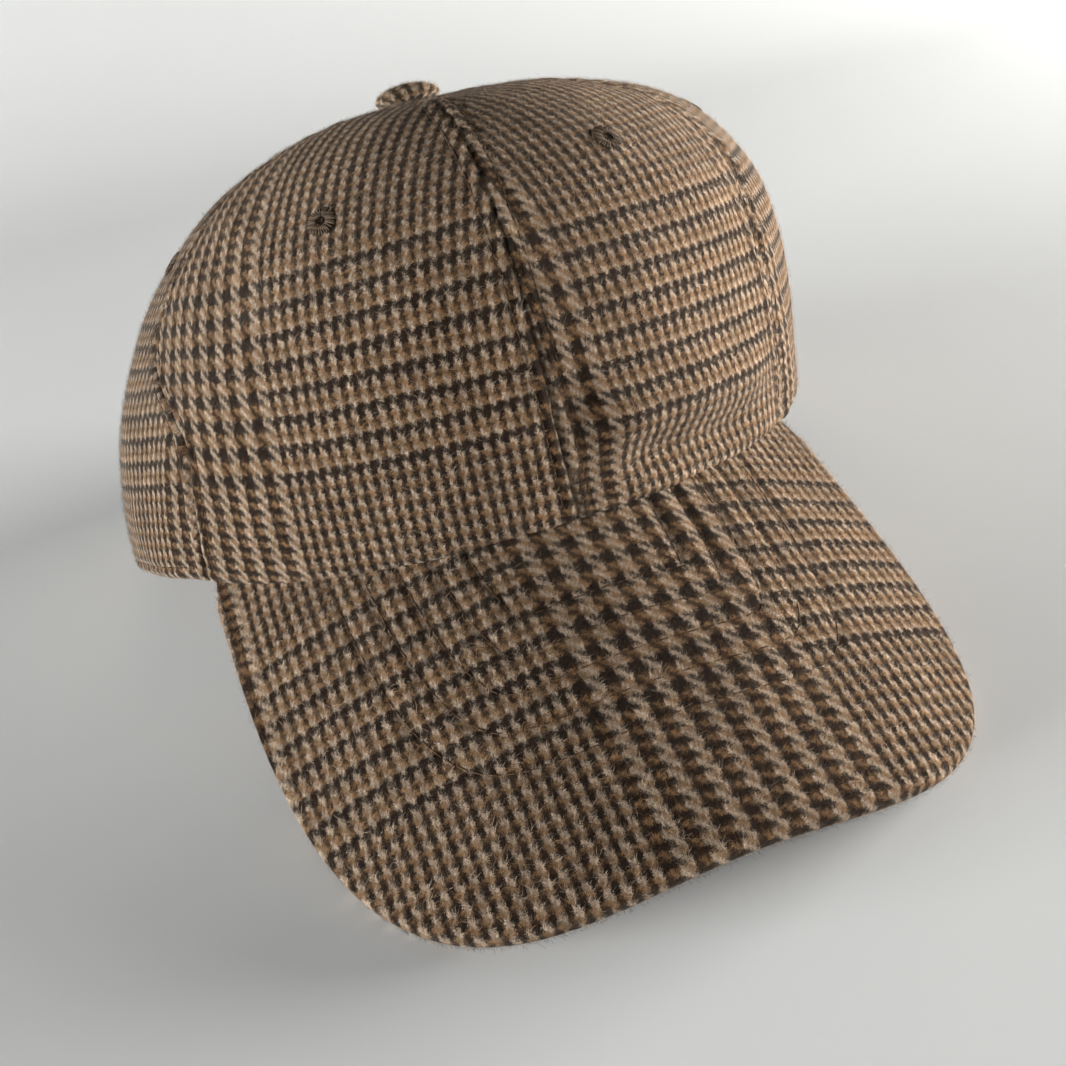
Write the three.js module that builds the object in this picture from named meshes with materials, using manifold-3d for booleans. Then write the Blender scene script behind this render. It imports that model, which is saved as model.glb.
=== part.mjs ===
// A six-panel wool cap, standing on a table as it rests by itself. Millimetres, +Z up.
// The peak points to -Y, and +X is the wearer's left. The origin is on the table,
// under the middle of the cap's outline.
//
// The cap is worked out in its own frame first: x to the wearer's left, f forward and z up from
// the level of the head band. Angles go round the rim from straight ahead, 0, towards +x.
// Rise goes up a panel from the rim, 0, to the button, 1. Then the cap is tipped to rest.

import * as THREE from 'three';
import { mergeVertices } from 'three/addons/utils/BufferGeometryUtils.js';
import Module from 'manifold-3d';

const wasm = await Module();
wasm.setup();

// Rim of the crown, seen from above: an egg, narrower in front, a little more so on the left
const RIM_HALF_WIDTH = 91.3;
const RIM_FRONT = 82;
const RIM_BACK = 97;
const FRONT_NARROWING_LEFT = 0.165;
const FRONT_NARROWING_RIGHT = 0.13;
const SIDE_RIM_HEIGHT = 6;
const LEFT_SIDE_LIFT = 7.5;
const RIM_BLEND_ANGLE = 50;

// Crown: soft cloth, fuller on the left, with the button a little before the middle
const CROWN_HEIGHT = 99.2;
const BUTTON_LEFT = 4.4;
const BUTTON_FORWARD = 3.8;
const ROUNDNESS = 2.6;
const LEFT_ROUNDNESS = 0.15;
const FRONT_ROUNDNESS = 0.75;
const SHOULDER = 2.3;
const LEFT_SHOULDER = 0.38;
const OVERHANG = 0.032;
const LEFT_OVERHANG = 0.056;
const CLOTH = 2.2;
const SEAM_GAP = 0.3;
const PANEL_PUFF = 0.5;
const SEAM_DRAW = 1.5;
const APEX_HOLE_RADIUS = 4;

// Soft folds of the left front panel: where each one lies, how far it reaches and stands out
const FOLDS = [
  { angle: 5, rise: 0.12, angleReach: 3.5, riseReach: 0.07, out: -2.4 },
  { angle: 13, rise: 0.095, angleReach: 6, riseReach: 0.04, out: 2.2 },
  { angle: 24, rise: 0.1, angleReach: 8, riseReach: 0.04, out: 2.4 },
  { angle: 37, rise: 0.085, angleReach: 8, riseReach: 0.04, out: 2 },
  { angle: 17, rise: 0.04, angleReach: 8, riseReach: 0.022, out: -3 },
  { angle: 31, rise: 0.03, angleReach: 9, riseReach: 0.022, out: -2.8 },
];

// Peak: a stiff plate bent over a cone, from one front corner of the rim to the other
const LEFT_CORNER = 53;
const RIGHT_CORNER = 59;
const PEAK_ROOT_HEIGHT = 14.2;
const PEAK_SLOPE = THREE.MathUtils.degToRad(29.7);
const PEAK_BEND_LEFT = 99;
const PEAK_BEND_RIGHT = 107;
const PEAK_CREST = -1.2;
const PEAK_REACH = 145.6;
const PEAK_SQUARENESS = 3.24;
const PEAK_FLARE_LEFT = 0.045;
const PEAK_FLARE_RIGHT = -0.02;
const PEAK_THICKNESS = 4.6;
const PEAK_END = 0.985;
const PEAK_CORNER_FLAT = 0.5;

// Button and sewn eyelets
const BUTTON_RADIUS = 7.6;
const BUTTON_HEIGHT = 4.8;
const BUTTON_LIP = 1.6;
const SHANK_RADIUS = 3.5;
const EYELET_RISE = 0.56;
const EYELET_RADIUS = 3.4;
const EYELET_HOLE_RADIUS = 1;
const EYELET_BARREL_RADIUS = 2;
const EYELET_STITCH = 0.8;

// Rest: tipped back until the back of the rim and both sides of the peak stand on the table
const TIP_BACK = THREE.MathUtils.degToRad(9.18);
const TIP_LEFT = THREE.MathUtils.degToRad(-1.05);
const REST_LIFT = 8.57;
const OUTLINE_MIDDLE_X = 0.6;
const OUTLINE_MIDDLE_F = 23.6;

// Steps of the faceted surfaces
const PANEL_COLUMNS = 12;
const PANEL_ROWS = 16;
const ROW_CROWDING = 1.25;
const PEAK_COLUMNS = 32;
const PEAK_ROWS = 7;
const EDGE_STEPS = 4;
const ROUND_STEPS = 24;
const EYELET_STEPS = 12;

// Seams round the rim. The front one lies a little left of the middle
const FRONT_SEAM = 1.3;
const SEAMS = {
  front: FRONT_SEAM,
  frontLeft: LEFT_CORNER,
  backLeft: (LEFT_CORNER + 180) / 2,
  back: 180,
  backRight: 360 - (RIGHT_CORNER + 180) / 2,
  frontRight: 360 - RIGHT_CORNER,
  frontAgain: 360 + FRONT_SEAM,
};

// Half way up, the seams behind the front panels swing back by these angles
const SEAM_SWING = { [SEAMS.frontLeft]: 8, [SEAMS.frontRight]: -18 };
const SWING_START = 0.2;
const SWING_FULL = 0.45;
const SWING_END = 0.7;

const PANELS = [
  { place: 'front', side: 'left', from: SEAMS.front, to: SEAMS.frontLeft },
  { place: 'side', side: 'left', from: SEAMS.frontLeft, to: SEAMS.backLeft },
  { place: 'back', side: 'left', from: SEAMS.backLeft, to: SEAMS.back },
  { place: 'back', side: 'right', from: SEAMS.back, to: SEAMS.backRight },
  { place: 'side', side: 'right', from: SEAMS.backRight, to: SEAMS.frontRight },
  { place: 'front', side: 'right', from: SEAMS.frontRight, to: SEAMS.frontAgain },
];

const wool = new THREE.Color(0x7d6655);
const darkWool = new THREE.Color(0x6f5a4b);
const thread = new THREE.Color(0x6b6152);
const CLOTH_ROUGHNESS = 0.95;

// Angle in degrees from -180 to 180
function around(angle) {
  return THREE.MathUtils.euclideanModulo(angle + 180, 360) - 180;
}

function rimPlan(angle) {
  const turn = THREE.MathUtils.degToRad(angle);
  const side = Math.sin(turn);
  const forward = Math.cos(turn);
  const narrowing = side > 0 ? FRONT_NARROWING_LEFT : FRONT_NARROWING_RIGHT;
  return {
    x: RIM_HALF_WIDTH * side * (1 - narrowing * forward),
    f: (forward > 0 ? RIM_FRONT : RIM_BACK) * forward,
  };
}

// Height of the peak's upper face
function peakTop(x, f) {
  const bend = x > PEAK_CREST ? PEAK_BEND_LEFT : PEAK_BEND_RIGHT;
  return PEAK_ROOT_HEIGHT - Math.tan(PEAK_SLOPE) * (f - RIM_FRONT) - (x - PEAK_CREST) ** 2 / (2 * bend);
}

// A point of the rim's foot, this far in from the crown's outer face
function rimFoot(angle, inward) {
  const { x, f } = rimPlan(angle);
  const share = 1 - inward / Math.hypot(x, f);
  return { x: x * share, f: f * share };
}

// In front the rim stands on the peak, and past its corners it eases to the level of the sides
function rimHeight(angle, inward = 0) {
  const signed = around(angle);
  const held = THREE.MathUtils.clamp(signed, -RIGHT_CORNER, LEFT_CORNER);
  const corner = rimFoot(held, inward);
  const past = Math.abs(signed - held) / RIM_BLEND_ANGLE;
  const side = Math.max(Math.sin(THREE.MathUtils.degToRad(signed)), 0) ** 2;
  const sideHeight = SIDE_RIM_HEIGHT + LEFT_SIDE_LIFT * side;
  const onPeak = peakTop(corner.x, corner.f) + SEAM_GAP;
  return THREE.MathUtils.lerp(onPeak, sideHeight, THREE.MathUtils.smoothstep(past, 0, 1));
}

// Where a seam lies at this rise
function seamAngle(seam, rise) {
  const out = THREE.MathUtils.smoothstep(rise, SWING_START, SWING_FULL);
  const home = THREE.MathUtils.smoothstep(rise, SWING_END, 1);
  return seam + (SEAM_SWING[seam] ?? 0) * out * (1 - home);
}

// How far across its panel a place lies, from 0 at one seam to 1 at the next
function acrossPanel(angle, rise) {
  const turn = THREE.MathUtils.euclideanModulo(angle - FRONT_SEAM, 360) + FRONT_SEAM;
  const panel = PANELS.find(({ from, to }) => turn >= seamAngle(from, rise) && turn < seamAngle(to, rise));
  return THREE.MathUtils.inverseLerp(seamAngle(panel.from, rise), seamAngle(panel.to, rise), turn);
}

// Outward push of the cloth: seams draw it in, panels puff out between them, and folds lie on top
function softness(angle, rise) {
  const signed = around(angle);
  const middle = Math.sin(Math.PI * acrossPanel(angle, rise)) ** 2;
  const puff = THREE.MathUtils.lerp(-SEAM_DRAW, PANEL_PUFF, middle) * Math.sin(Math.PI * rise);
  return FOLDS.reduce((sum, fold) => {
    const a = (signed - fold.angle) / fold.angleReach;
    const r = (rise - fold.rise) / fold.riseReach;
    return sum + fold.out * Math.exp(-a * a - r * r);
  }, puff);
}

// Outer face of the crown, in the cap's frame: x to the left, y forward, z up
function crownPoint(angle, rise) {
  const turn = THREE.MathUtils.degToRad(angle);
  const left = Math.sin(turn);
  const climb = (rise * Math.PI) / 2;
  const round = ROUNDNESS + LEFT_ROUNDNESS * left + FRONT_ROUNDNESS * Math.cos(turn);
  const shoulder = SHOULDER + LEFT_SHOULDER * left;
  const overhang = OVERHANG + LEFT_OVERHANG * left;
  const reach = Math.max(Math.cos(climb), 0) ** (2 / round) + overhang * Math.sin(2 * climb);
  const lift = Math.sin(climb) ** (2 / shoulder);
  const rim = rimPlan(angle);
  const base = rimHeight(angle);
  const arm = new THREE.Vector2(rim.x - BUTTON_LEFT, rim.f - BUTTON_FORWARD);
  const push = softness(angle, rise) / arm.length();
  arm.multiplyScalar(reach + push);
  return new THREE.Vector3(
    BUTTON_LEFT + arm.x,
    arm.y + BUTTON_FORWARD,
    base + (CROWN_HEIGHT - base) * lift,
  );
}

// Outward normal of the crown, from two short steps on its face
function crownNormal(angle, rise) {
  const angleStep = 0.2;
  const riseStep = 0.002;
  const low = Math.max(rise - riseStep, 0);
  const along = crownPoint(angle + angleStep, rise).sub(crownPoint(angle - angleStep, rise));
  const up = crownPoint(angle, rise + riseStep).sub(crownPoint(angle, low));
  return up.cross(along).normalize();
}

// Inner face of the crown, a cloth's thickness in, with its foot cut to stand where the rim stands
function innerPoint(angle, rise) {
  if (rise === 0) {
    const foot = rimFoot(angle, CLOTH);
    return new THREE.Vector3(foot.x, foot.f, rimHeight(angle, CLOTH));
  }
  return crownPoint(angle, rise).addScaledVector(crownNormal(angle, rise), -CLOTH);
}

// Stands a point of the cap's frame on the table, in the part's frame, and flattens what would sink in
function settle(point) {
  const leaned = point.clone().applyAxisAngle(new THREE.Vector3(0, 1, 0), TIP_LEFT);
  leaned.applyAxisAngle(new THREE.Vector3(1, 0, 0), TIP_BACK);
  const height = Math.max(leaned.z + REST_LIFT, 0);
  return new THREE.Vector3(leaned.x - OUTLINE_MIDDLE_X, OUTLINE_MIDDLE_F - leaned.y, height);
}

// The same turn for a direction
function settleDirection(direction) {
  const leaned = direction.clone().applyAxisAngle(new THREE.Vector3(0, 1, 0), TIP_LEFT);
  leaned.applyAxisAngle(new THREE.Vector3(1, 0, 0), TIP_BACK);
  return new THREE.Vector3(leaned.x, -leaned.y, leaned.z);
}

function geometryOf(points, triangles) {
  const geometry = new THREE.BufferGeometry();
  geometry.setFromPoints(points);
  geometry.setIndex(triangles);
  return geometry;
}

// A solid whose sections are closed loops of the same number of points, capped at both ends
function solidOfLoops(loops, capTriangles) {
  const size = loops[0].length;
  const triangles = [];
  for (let i = 0; i + 1 < loops.length; i += 1) {
    for (let j = 0; j < size; j += 1) {
      const a = i * size + j;
      const b = i * size + ((j + 1) % size);
      triangles.push(a, b, a + size, b, b + size, a + size);
    }
  }
  const last = (loops.length - 1) * size;
  capTriangles.forEach(([a, b, c]) => triangles.push(a, c, b, last + a, last + b, last + c));
  return geometryOf(loops.flat(), triangles);
}

// Triangles that close a loop of this many points, paired from its two ends
function pairedCap(size) {
  const triangles = [];
  for (let low = 0, high = size - 1; high - low > 1; low += 1, high -= 1) {
    triangles.push([low, low + 1, high]);
    if (high - low > 2) triangles.push([low + 1, high - 1, high]);
  }
  return triangles;
}

function apexDistance(point) {
  return Math.hypot(point.x - BUTTON_LEFT, point.y - BUTTON_FORWARD);
}

// The rise at which a panel reaches the hole under the button
function riseAtHole(angle) {
  let low = 0.5;
  let high = 1;
  const halvings = 40;
  for (let i = 0; i < halvings; i += 1) {
    const middle = (low + high) / 2;
    if (apexDistance(crownPoint(angle, middle)) > APEX_HOLE_RADIUS) low = middle;
    else high = middle;
  }
  return low;
}

// One panel: a curved wall between two seams. Each column is a loop, up inside and down outside.
function panelGeometry({ from, to }) {
  const loops = [];
  for (let i = 0; i <= PANEL_COLUMNS; i += 1) {
    const across = i / PANEL_COLUMNS;
    const top = riseAtHole(THREE.MathUtils.lerp(from, to, across));
    const outside = [];
    const inside = [];
    for (let j = 0; j <= PANEL_ROWS; j += 1) {
      const rise = top * (j / PANEL_ROWS) ** ROW_CROWDING;
      const start = seamAngle(from, rise);
      const end = seamAngle(to, rise);
      const radius = apexDistance(crownPoint(THREE.MathUtils.lerp(start, end, across), rise));
      const inset = THREE.MathUtils.radToDeg(SEAM_GAP / 2 / radius);
      const angle = THREE.MathUtils.lerp(start + inset, end - inset, across);
      outside.push(settle(crownPoint(angle, rise)));
      inside.push(settle(innerPoint(angle, rise)));
    }
    loops.push([...inside, ...outside.reverse()]);
  }
  return solidOfLoops(loops, pairedCap(loops[0].length));
}

// Inner and outer edge of the peak at a share of its width, from -1 at the right corner to 1
function peakEdges(share) {
  const corner = share > 0 ? LEFT_CORNER : RIGHT_CORNER;
  const root = rimFoot(share * corner, CLOTH);
  const end = rimPlan(Math.sign(share) * corner);
  const turn = (share * Math.PI) / 2;
  const power = 2 / PEAK_SQUARENESS;
  const forward = (PEAK_REACH - end.f) * Math.cos(turn) ** power;
  const flare = share > 0 ? PEAK_FLARE_LEFT : PEAK_FLARE_RIGHT;
  const halfWidth = Math.abs(end.x) + flare * forward;
  const sideways = Math.sign(turn) * Math.abs(Math.sin(turn)) ** power;
  return {
    root: new THREE.Vector2(root.x, root.f),
    rim: new THREE.Vector2(halfWidth * sideways, end.f + forward),
  };
}

// Upward normal of the peak's upper face
function peakNormal(x, f) {
  const step = 0.2;
  const slopeX = (peakTop(x + step, f) - peakTop(x - step, f)) / (2 * step);
  const slopeF = (peakTop(x, f + step) - peakTop(x, f - step)) / (2 * step);
  return new THREE.Vector3(-slopeX, -slopeF, 1).normalize();
}

// Each section of the peak runs out along its upper face, round its edge and back underneath
function peakGeometry() {
  const radius = PEAK_THICKNESS / 2;
  const loops = [];
  for (let i = 0; i <= PEAK_COLUMNS; i += 1) {
    const share = PEAK_END * ((2 * i) / PEAK_COLUMNS - 1);
    const { root, rim } = peakEdges(share);
    const outward = rim.clone().sub(root);
    const flatEnd = Math.max(outward.length() - radius, PEAK_CORNER_FLAT);
    outward.normalize();
    const above = [];
    const below = [];
    for (let j = 0; j <= PEAK_ROWS; j += 1) {
      const place = root.clone().addScaledVector(outward, (flatEnd * j) / PEAK_ROWS);
      const top = new THREE.Vector3(place.x, place.y, peakTop(place.x, place.y));
      above.push(top);
      below.push(top.clone().addScaledVector(peakNormal(place.x, place.y), -PEAK_THICKNESS));
    }
    const lastTop = above[PEAK_ROWS];
    const up = lastTop.clone().sub(below[PEAK_ROWS]).normalize();
    const middle = lastTop.clone().lerp(below[PEAK_ROWS], 0.5);
    const out = new THREE.Vector3(outward.x, outward.y, 0);
    out.addScaledVector(up, -out.dot(up)).normalize();
    const edge = [];
    for (let k = 1; k < EDGE_STEPS; k += 1) {
      const turn = (Math.PI * k) / EDGE_STEPS;
      const point = middle.clone().addScaledVector(up, radius * Math.cos(turn));
      edge.push(point.addScaledVector(out, radius * Math.sin(turn)));
    }
    loops.push([...above, ...edge, ...below.reverse()].map(settle));
  }
  return solidOfLoops(loops, pairedCap(loops[0].length));
}

// Turned shape about +Z, from a profile of radius and height
function turned(profile, steps) {
  const points = profile.map(([radius, height]) => new THREE.Vector2(radius, height));
  const geometry = new THREE.LatheGeometry(points, steps).rotateX(Math.PI / 2);
  geometry.deleteAttribute('normal');
  geometry.deleteAttribute('uv');
  return mergeVertices(geometry);
}

// A domed button with a shank through the hole where the panels meet
function buttonGeometry() {
  const profile = [[0, -CLOTH], [SHANK_RADIUS, -CLOTH], [SHANK_RADIUS, SEAM_GAP]];
  profile.push([BUTTON_RADIUS - SEAM_GAP, SEAM_GAP], [BUTTON_RADIUS, BUTTON_LIP]);
  const domeSteps = 5;
  for (let i = 1; i < domeSteps; i += 1) {
    const turn = ((Math.PI / 2) * i) / domeSteps;
    const height = BUTTON_LIP + (BUTTON_HEIGHT - BUTTON_LIP) * Math.sin(turn);
    profile.push([BUTTON_RADIUS * Math.cos(turn), height]);
  }
  profile.push([0, BUTTON_HEIGHT]);
  return turned(profile, ROUND_STEPS);
}

// A ring of thread on the panel, with a barrel of thread through the hole
function eyeletGeometry() {
  const crest = (EYELET_HOLE_RADIUS + EYELET_RADIUS) / 2;
  return turned(
    [
      [EYELET_HOLE_RADIUS, -CLOTH],
      [EYELET_BARREL_RADIUS, -CLOTH],
      [EYELET_BARREL_RADIUS, SEAM_GAP],
      [EYELET_RADIUS, SEAM_GAP],
      [EYELET_RADIUS, SEAM_GAP + EYELET_STITCH / 2],
      [crest, SEAM_GAP + EYELET_STITCH],
      [EYELET_HOLE_RADIUS, SEAM_GAP + EYELET_STITCH / 2],
      [EYELET_HOLE_RADIUS, -CLOTH],
    ],
    EYELET_STEPS,
  );
}

function manifoldOf(geometry) {
  const vertProperties = new Float32Array(geometry.attributes.position.array);
  const triVerts = new Uint32Array(geometry.index.array);
  return new wasm.Manifold(new wasm.Mesh({ numProp: 3, vertProperties, triVerts }));
}

// The panel with the eyelet's hole cut through it
function pierced(panel, place) {
  const reach = 3 * CLOTH;
  const radius = EYELET_BARREL_RADIUS + SEAM_GAP;
  const punch = turned([[0, -reach], [radius, -reach], [radius, reach], [0, reach]], EYELET_STEPS);
  const cut = manifoldOf(panel).subtract(manifoldOf(punch.applyMatrix4(place))).getMesh();
  const geometry = new THREE.BufferGeometry();
  geometry.setAttribute('position', new THREE.BufferAttribute(cut.vertProperties, 3));
  geometry.setIndex(Array.from(cut.triVerts));
  return geometry;
}

// Where something round sits on the crown, its own +Z pointing out of the cloth
function seatOnCrown(angle, rise) {
  const outward = settleDirection(crownNormal(angle, rise));
  const turn = new THREE.Quaternion().setFromUnitVectors(new THREE.Vector3(0, 0, 1), outward);
  const place = settle(crownPoint(angle, rise));
  return new THREE.Matrix4().compose(place, turn, new THREE.Vector3(1, 1, 1));
}

function piece(name, geometry, color) {
  const material = new THREE.MeshStandardMaterial({ color, roughness: CLOTH_ROUGHNESS, metalness: 0 });
  const mesh = new THREE.Mesh(geometry, material);
  mesh.name = name;
  return mesh;
}

const cap = new THREE.Group();

PANELS.forEach((panel) => {
  const middle = (panel.from + panel.to) / 2;
  const seat = seatOnCrown(middle, EYELET_RISE);
  const label = `${panel.place}_panel_${panel.side}`;
  cap.add(piece(label, pierced(panelGeometry(panel), seat), wool));
  const eyelet = piece(`eyelet_${panel.place}_${panel.side}`, eyeletGeometry(), thread);
  eyelet.applyMatrix4(seat);
  cap.add(eyelet);
});

cap.add(piece('peak', peakGeometry(), darkWool));

const button = piece('top_button', buttonGeometry(), darkWool);
button.position.copy(settle(new THREE.Vector3(BUTTON_LEFT, BUTTON_FORWARD, CROWN_HEIGHT)));
button.quaternion.setFromUnitVectors(
  new THREE.Vector3(0, 0, 1),
  settleDirection(new THREE.Vector3(0, 0, 1)),
);
cap.add(button);

export default cap;
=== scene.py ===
# %% [markdown]
# A wool cap in a glen check, dressed in Blender. The frame holds the cap's fourteen solids at their real
# size. They are smooth and plain, so each of them is replaced here by a piece with the real thing's
# cloth: seams, hems, rows of stitches, weave and nap. Lengths in this lesson are millimetres in the cap's
# own frame, and become metres in one place, settle().

# %% Load the frame
import math

import bpy
import numpy as np
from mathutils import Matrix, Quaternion, Vector


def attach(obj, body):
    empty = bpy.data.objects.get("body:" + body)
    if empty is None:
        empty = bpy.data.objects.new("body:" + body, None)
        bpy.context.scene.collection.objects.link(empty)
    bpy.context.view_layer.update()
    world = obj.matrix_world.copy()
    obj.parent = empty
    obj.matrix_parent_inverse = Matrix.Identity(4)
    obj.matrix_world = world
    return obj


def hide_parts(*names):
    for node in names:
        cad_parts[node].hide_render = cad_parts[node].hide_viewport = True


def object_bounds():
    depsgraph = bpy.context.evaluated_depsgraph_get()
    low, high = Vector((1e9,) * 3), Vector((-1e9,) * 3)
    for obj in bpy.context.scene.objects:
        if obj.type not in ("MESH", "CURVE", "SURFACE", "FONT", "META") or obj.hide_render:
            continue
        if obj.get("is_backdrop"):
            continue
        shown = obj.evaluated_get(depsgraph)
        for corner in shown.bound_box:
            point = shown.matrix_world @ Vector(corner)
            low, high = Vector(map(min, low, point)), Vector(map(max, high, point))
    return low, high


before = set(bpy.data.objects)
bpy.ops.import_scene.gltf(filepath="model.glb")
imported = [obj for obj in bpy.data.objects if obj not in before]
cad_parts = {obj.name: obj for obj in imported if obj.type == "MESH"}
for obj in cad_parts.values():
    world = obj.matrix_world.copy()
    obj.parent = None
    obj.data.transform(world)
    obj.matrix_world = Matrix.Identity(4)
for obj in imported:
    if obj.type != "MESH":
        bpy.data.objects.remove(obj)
cad_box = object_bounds()
MM = 0.001
rng = np.random.default_rng(1927)
print("solids in the frame:", len(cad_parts))

# %% [markdown]
# The camera comes first, so that every later step can be looked at from the right place. It stands close
# to the cap, as a hand-held one does, which makes the peak look large. A close camera needs a wide lens.
# It is also rolled a little, so it is turned about its own line of sight after it is aimed.

# %% Camera
CAMERA_PLACE = Vector((-0.0543, -0.2385, 0.1403))
CAMERA_AIM = Vector((-0.0063, -0.0426, 0.0298))
CAMERA_ROLL = math.radians(-10.4)
SENSOR = 36.0
IMAGE_PIXELS = 1066
FOCAL_PIXELS = 1098.9

bpy.ops.object.select_all(action="DESELECT")
bpy.ops.object.camera_add(location=CAMERA_PLACE)
camera = bpy.context.object
camera.rotation_mode = "QUATERNION"
aimed = (CAMERA_AIM - CAMERA_PLACE).to_track_quat("-Z", "Y")
camera.rotation_quaternion = aimed @ Quaternion((0, 0, 1), CAMERA_ROLL)
camera.data.sensor_width = SENSOR
camera.data.lens = SENSOR * FOCAL_PIXELS / IMAGE_PIXELS
camera.data.clip_start = 0.01
bpy.context.scene.camera = camera
print("camera lens, mm:", round(camera.data.lens, 1))

# %% [markdown]
# The form of the cap is a few formulas: an egg for the rim, a soft superellipse from the rim up to the
# button, and a bent plate for the peak. The solids were made from the same formulas. Having them here as
# well means that cloth, stitches and fibres can all be placed on the surface itself, instead of being
# projected onto it. Angles go round the rim from straight ahead towards the wearer's left. Rise goes from
# the rim, 0, to the button, 1.

# %% Form of the rim and the peak
RIM_HALF_WIDTH = 91.3
RIM_FRONT = 82.0
RIM_BACK = 97.0
FRONT_NARROWING_LEFT = 0.165
FRONT_NARROWING_RIGHT = 0.13
SIDE_RIM_HEIGHT = 6.0
LEFT_SIDE_LIFT = 7.5
RIM_BLEND_ANGLE = 50.0
LEFT_CORNER = 53.0
RIGHT_CORNER = 59.0
PEAK_ROOT_HEIGHT = 14.2
PEAK_SLOPE = math.radians(29.7)
PEAK_BEND_LEFT = 99.0
PEAK_BEND_RIGHT = 107.0
PEAK_CREST = -1.2
SEAM_GAP = 0.3


def rim_plan(angle):
    turn = np.radians(angle)
    side = np.sin(turn)
    forward = np.cos(turn)
    narrowing = np.where(side > 0, FRONT_NARROWING_LEFT, FRONT_NARROWING_RIGHT)
    x = RIM_HALF_WIDTH * side * (1 - narrowing * forward)
    f = np.where(forward > 0, RIM_FRONT, RIM_BACK) * forward
    return x, f


def peak_sag(x):
    bend = np.where(x > PEAK_CREST, PEAK_BEND_LEFT, PEAK_BEND_RIGHT)
    return -((x - PEAK_CREST) ** 2) / (2 * bend)


def peak_top(x, f):
    return PEAK_ROOT_HEIGHT - math.tan(PEAK_SLOPE) * (f - RIM_FRONT) + peak_sag(x)


def smooth(share):
    share = np.clip(share, 0, 1)
    return share * share * (3 - 2 * share)


def rim_height(angle):
    signed = (angle + 180) % 360 - 180
    held = np.clip(signed, -RIGHT_CORNER, LEFT_CORNER)
    past = smooth(np.abs(signed - held) / RIM_BLEND_ANGLE)
    side = np.maximum(np.sin(np.radians(signed)), 0) ** 2
    on_peak = peak_top(*rim_plan(held)) + SEAM_GAP
    return on_peak * (1 - past) + (SIDE_RIM_HEIGHT + LEFT_SIDE_LIFT * side) * past


print("rim height over the peak, mm:", round(float(rim_height(np.array(0.0))), 1))

# %% Form of the crown
CROWN_HEIGHT = 99.2
BUTTON_LEFT = 4.4
BUTTON_FORWARD = 3.8
ROUNDNESS = 2.6
LEFT_ROUNDNESS = 0.15
FRONT_ROUNDNESS = 0.75
SHOULDER = 2.3
LEFT_SHOULDER = 0.38
OVERHANG = 0.032
LEFT_OVERHANG = 0.056
PANEL_PUFF = 0.5
SEAM_DRAW = 1.5
APEX_HOLE_RADIUS = 4.0

# Soft folds of the left front panel: angle, rise, reach in angle, reach in rise, how far it stands out
FOLDS = [
    (5, 0.12, 3.5, 0.07, -2.4),
    (13, 0.095, 6, 0.04, 2.2),
    (24, 0.1, 8, 0.04, 2.4),
    (37, 0.085, 8, 0.04, 2.0),
    (17, 0.04, 8, 0.022, -3.0),
    (31, 0.03, 9, 0.022, -2.8),
]


def crown_point(angle, rise, across):
    """Smooth outer face of the crown. Across is 0 at one seam of the panel and 1 at the other."""
    turn = np.radians(angle)
    left = np.sin(turn)
    climb = rise * math.pi / 2
    roundness = ROUNDNESS + LEFT_ROUNDNESS * left + FRONT_ROUNDNESS * np.cos(turn)
    shoulder = SHOULDER + LEFT_SHOULDER * left
    overhang = OVERHANG + LEFT_OVERHANG * left
    reach = np.maximum(np.cos(climb), 0) ** (2 / roundness) + overhang * np.sin(2 * climb)
    lift = np.maximum(np.sin(climb), 0) ** (2 / shoulder)
    puff = -SEAM_DRAW + (PANEL_PUFF + SEAM_DRAW) * np.sin(math.pi * across) ** 2
    push = puff * np.sin(math.pi * rise)
    signed = (angle + 180) % 360 - 180
    for fold_angle, fold_rise, angle_reach, rise_reach, out in FOLDS:
        away = ((signed - fold_angle) / angle_reach) ** 2 + ((rise - fold_rise) / rise_reach) ** 2
        push = push + out * np.exp(-away)
    x, f = rim_plan(angle)
    arm_x = x - BUTTON_LEFT
    arm_f = f - BUTTON_FORWARD
    scale = reach + push / np.hypot(arm_x, arm_f)
    base = rim_height(angle)
    height = base + (CROWN_HEIGHT - base) * lift
    return np.stack([BUTTON_LEFT + arm_x * scale, BUTTON_FORWARD + arm_f * scale, height], axis=-1)


# %% Rest on the table
TIP_BACK = math.radians(9.18)
TIP_LEFT = math.radians(-1.05)
REST_LIFT = 8.57
OUTLINE_MIDDLE_X = 0.6
OUTLINE_MIDDLE_F = 23.6


def turned_to_rest(points):
    x, f, z = np.moveaxis(np.asarray(points, float), -1, 0)
    leaned_x = x * math.cos(TIP_LEFT) + z * math.sin(TIP_LEFT)
    leaned_z = -x * math.sin(TIP_LEFT) + z * math.cos(TIP_LEFT)
    tipped_f = f * math.cos(TIP_BACK) - leaned_z * math.sin(TIP_BACK)
    tipped_z = f * math.sin(TIP_BACK) + leaned_z * math.cos(TIP_BACK)
    return np.stack([leaned_x, -tipped_f, tipped_z], axis=-1)


def settle(points):
    """From the cap's frame in millimetres to the part's frame in metres, flat where it meets the table."""
    placed = turned_to_rest(points) + np.array([-OUTLINE_MIDDLE_X, OUTLINE_MIDDLE_F, REST_LIFT])
    placed[..., 2] = np.maximum(placed[..., 2], 0)
    return placed * MM


# %% [markdown]
# Each panel is a gore of cloth. On the real cap its two long sides are folded under and sewn to its
# neighbours, so the face dips into a groove at the seam, swells over the folded seam allowance, and dips
# again under the row of top stitching beside it. Its edge is tucked a little past the seam, so that no
# light comes through. Away from the peak the rim is a hem with one such row. These small forms are
# functions of the distance to the edge in millimetres, added along the surface's normal. A long soft
# ripple keeps the cloth from looking cast.

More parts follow.
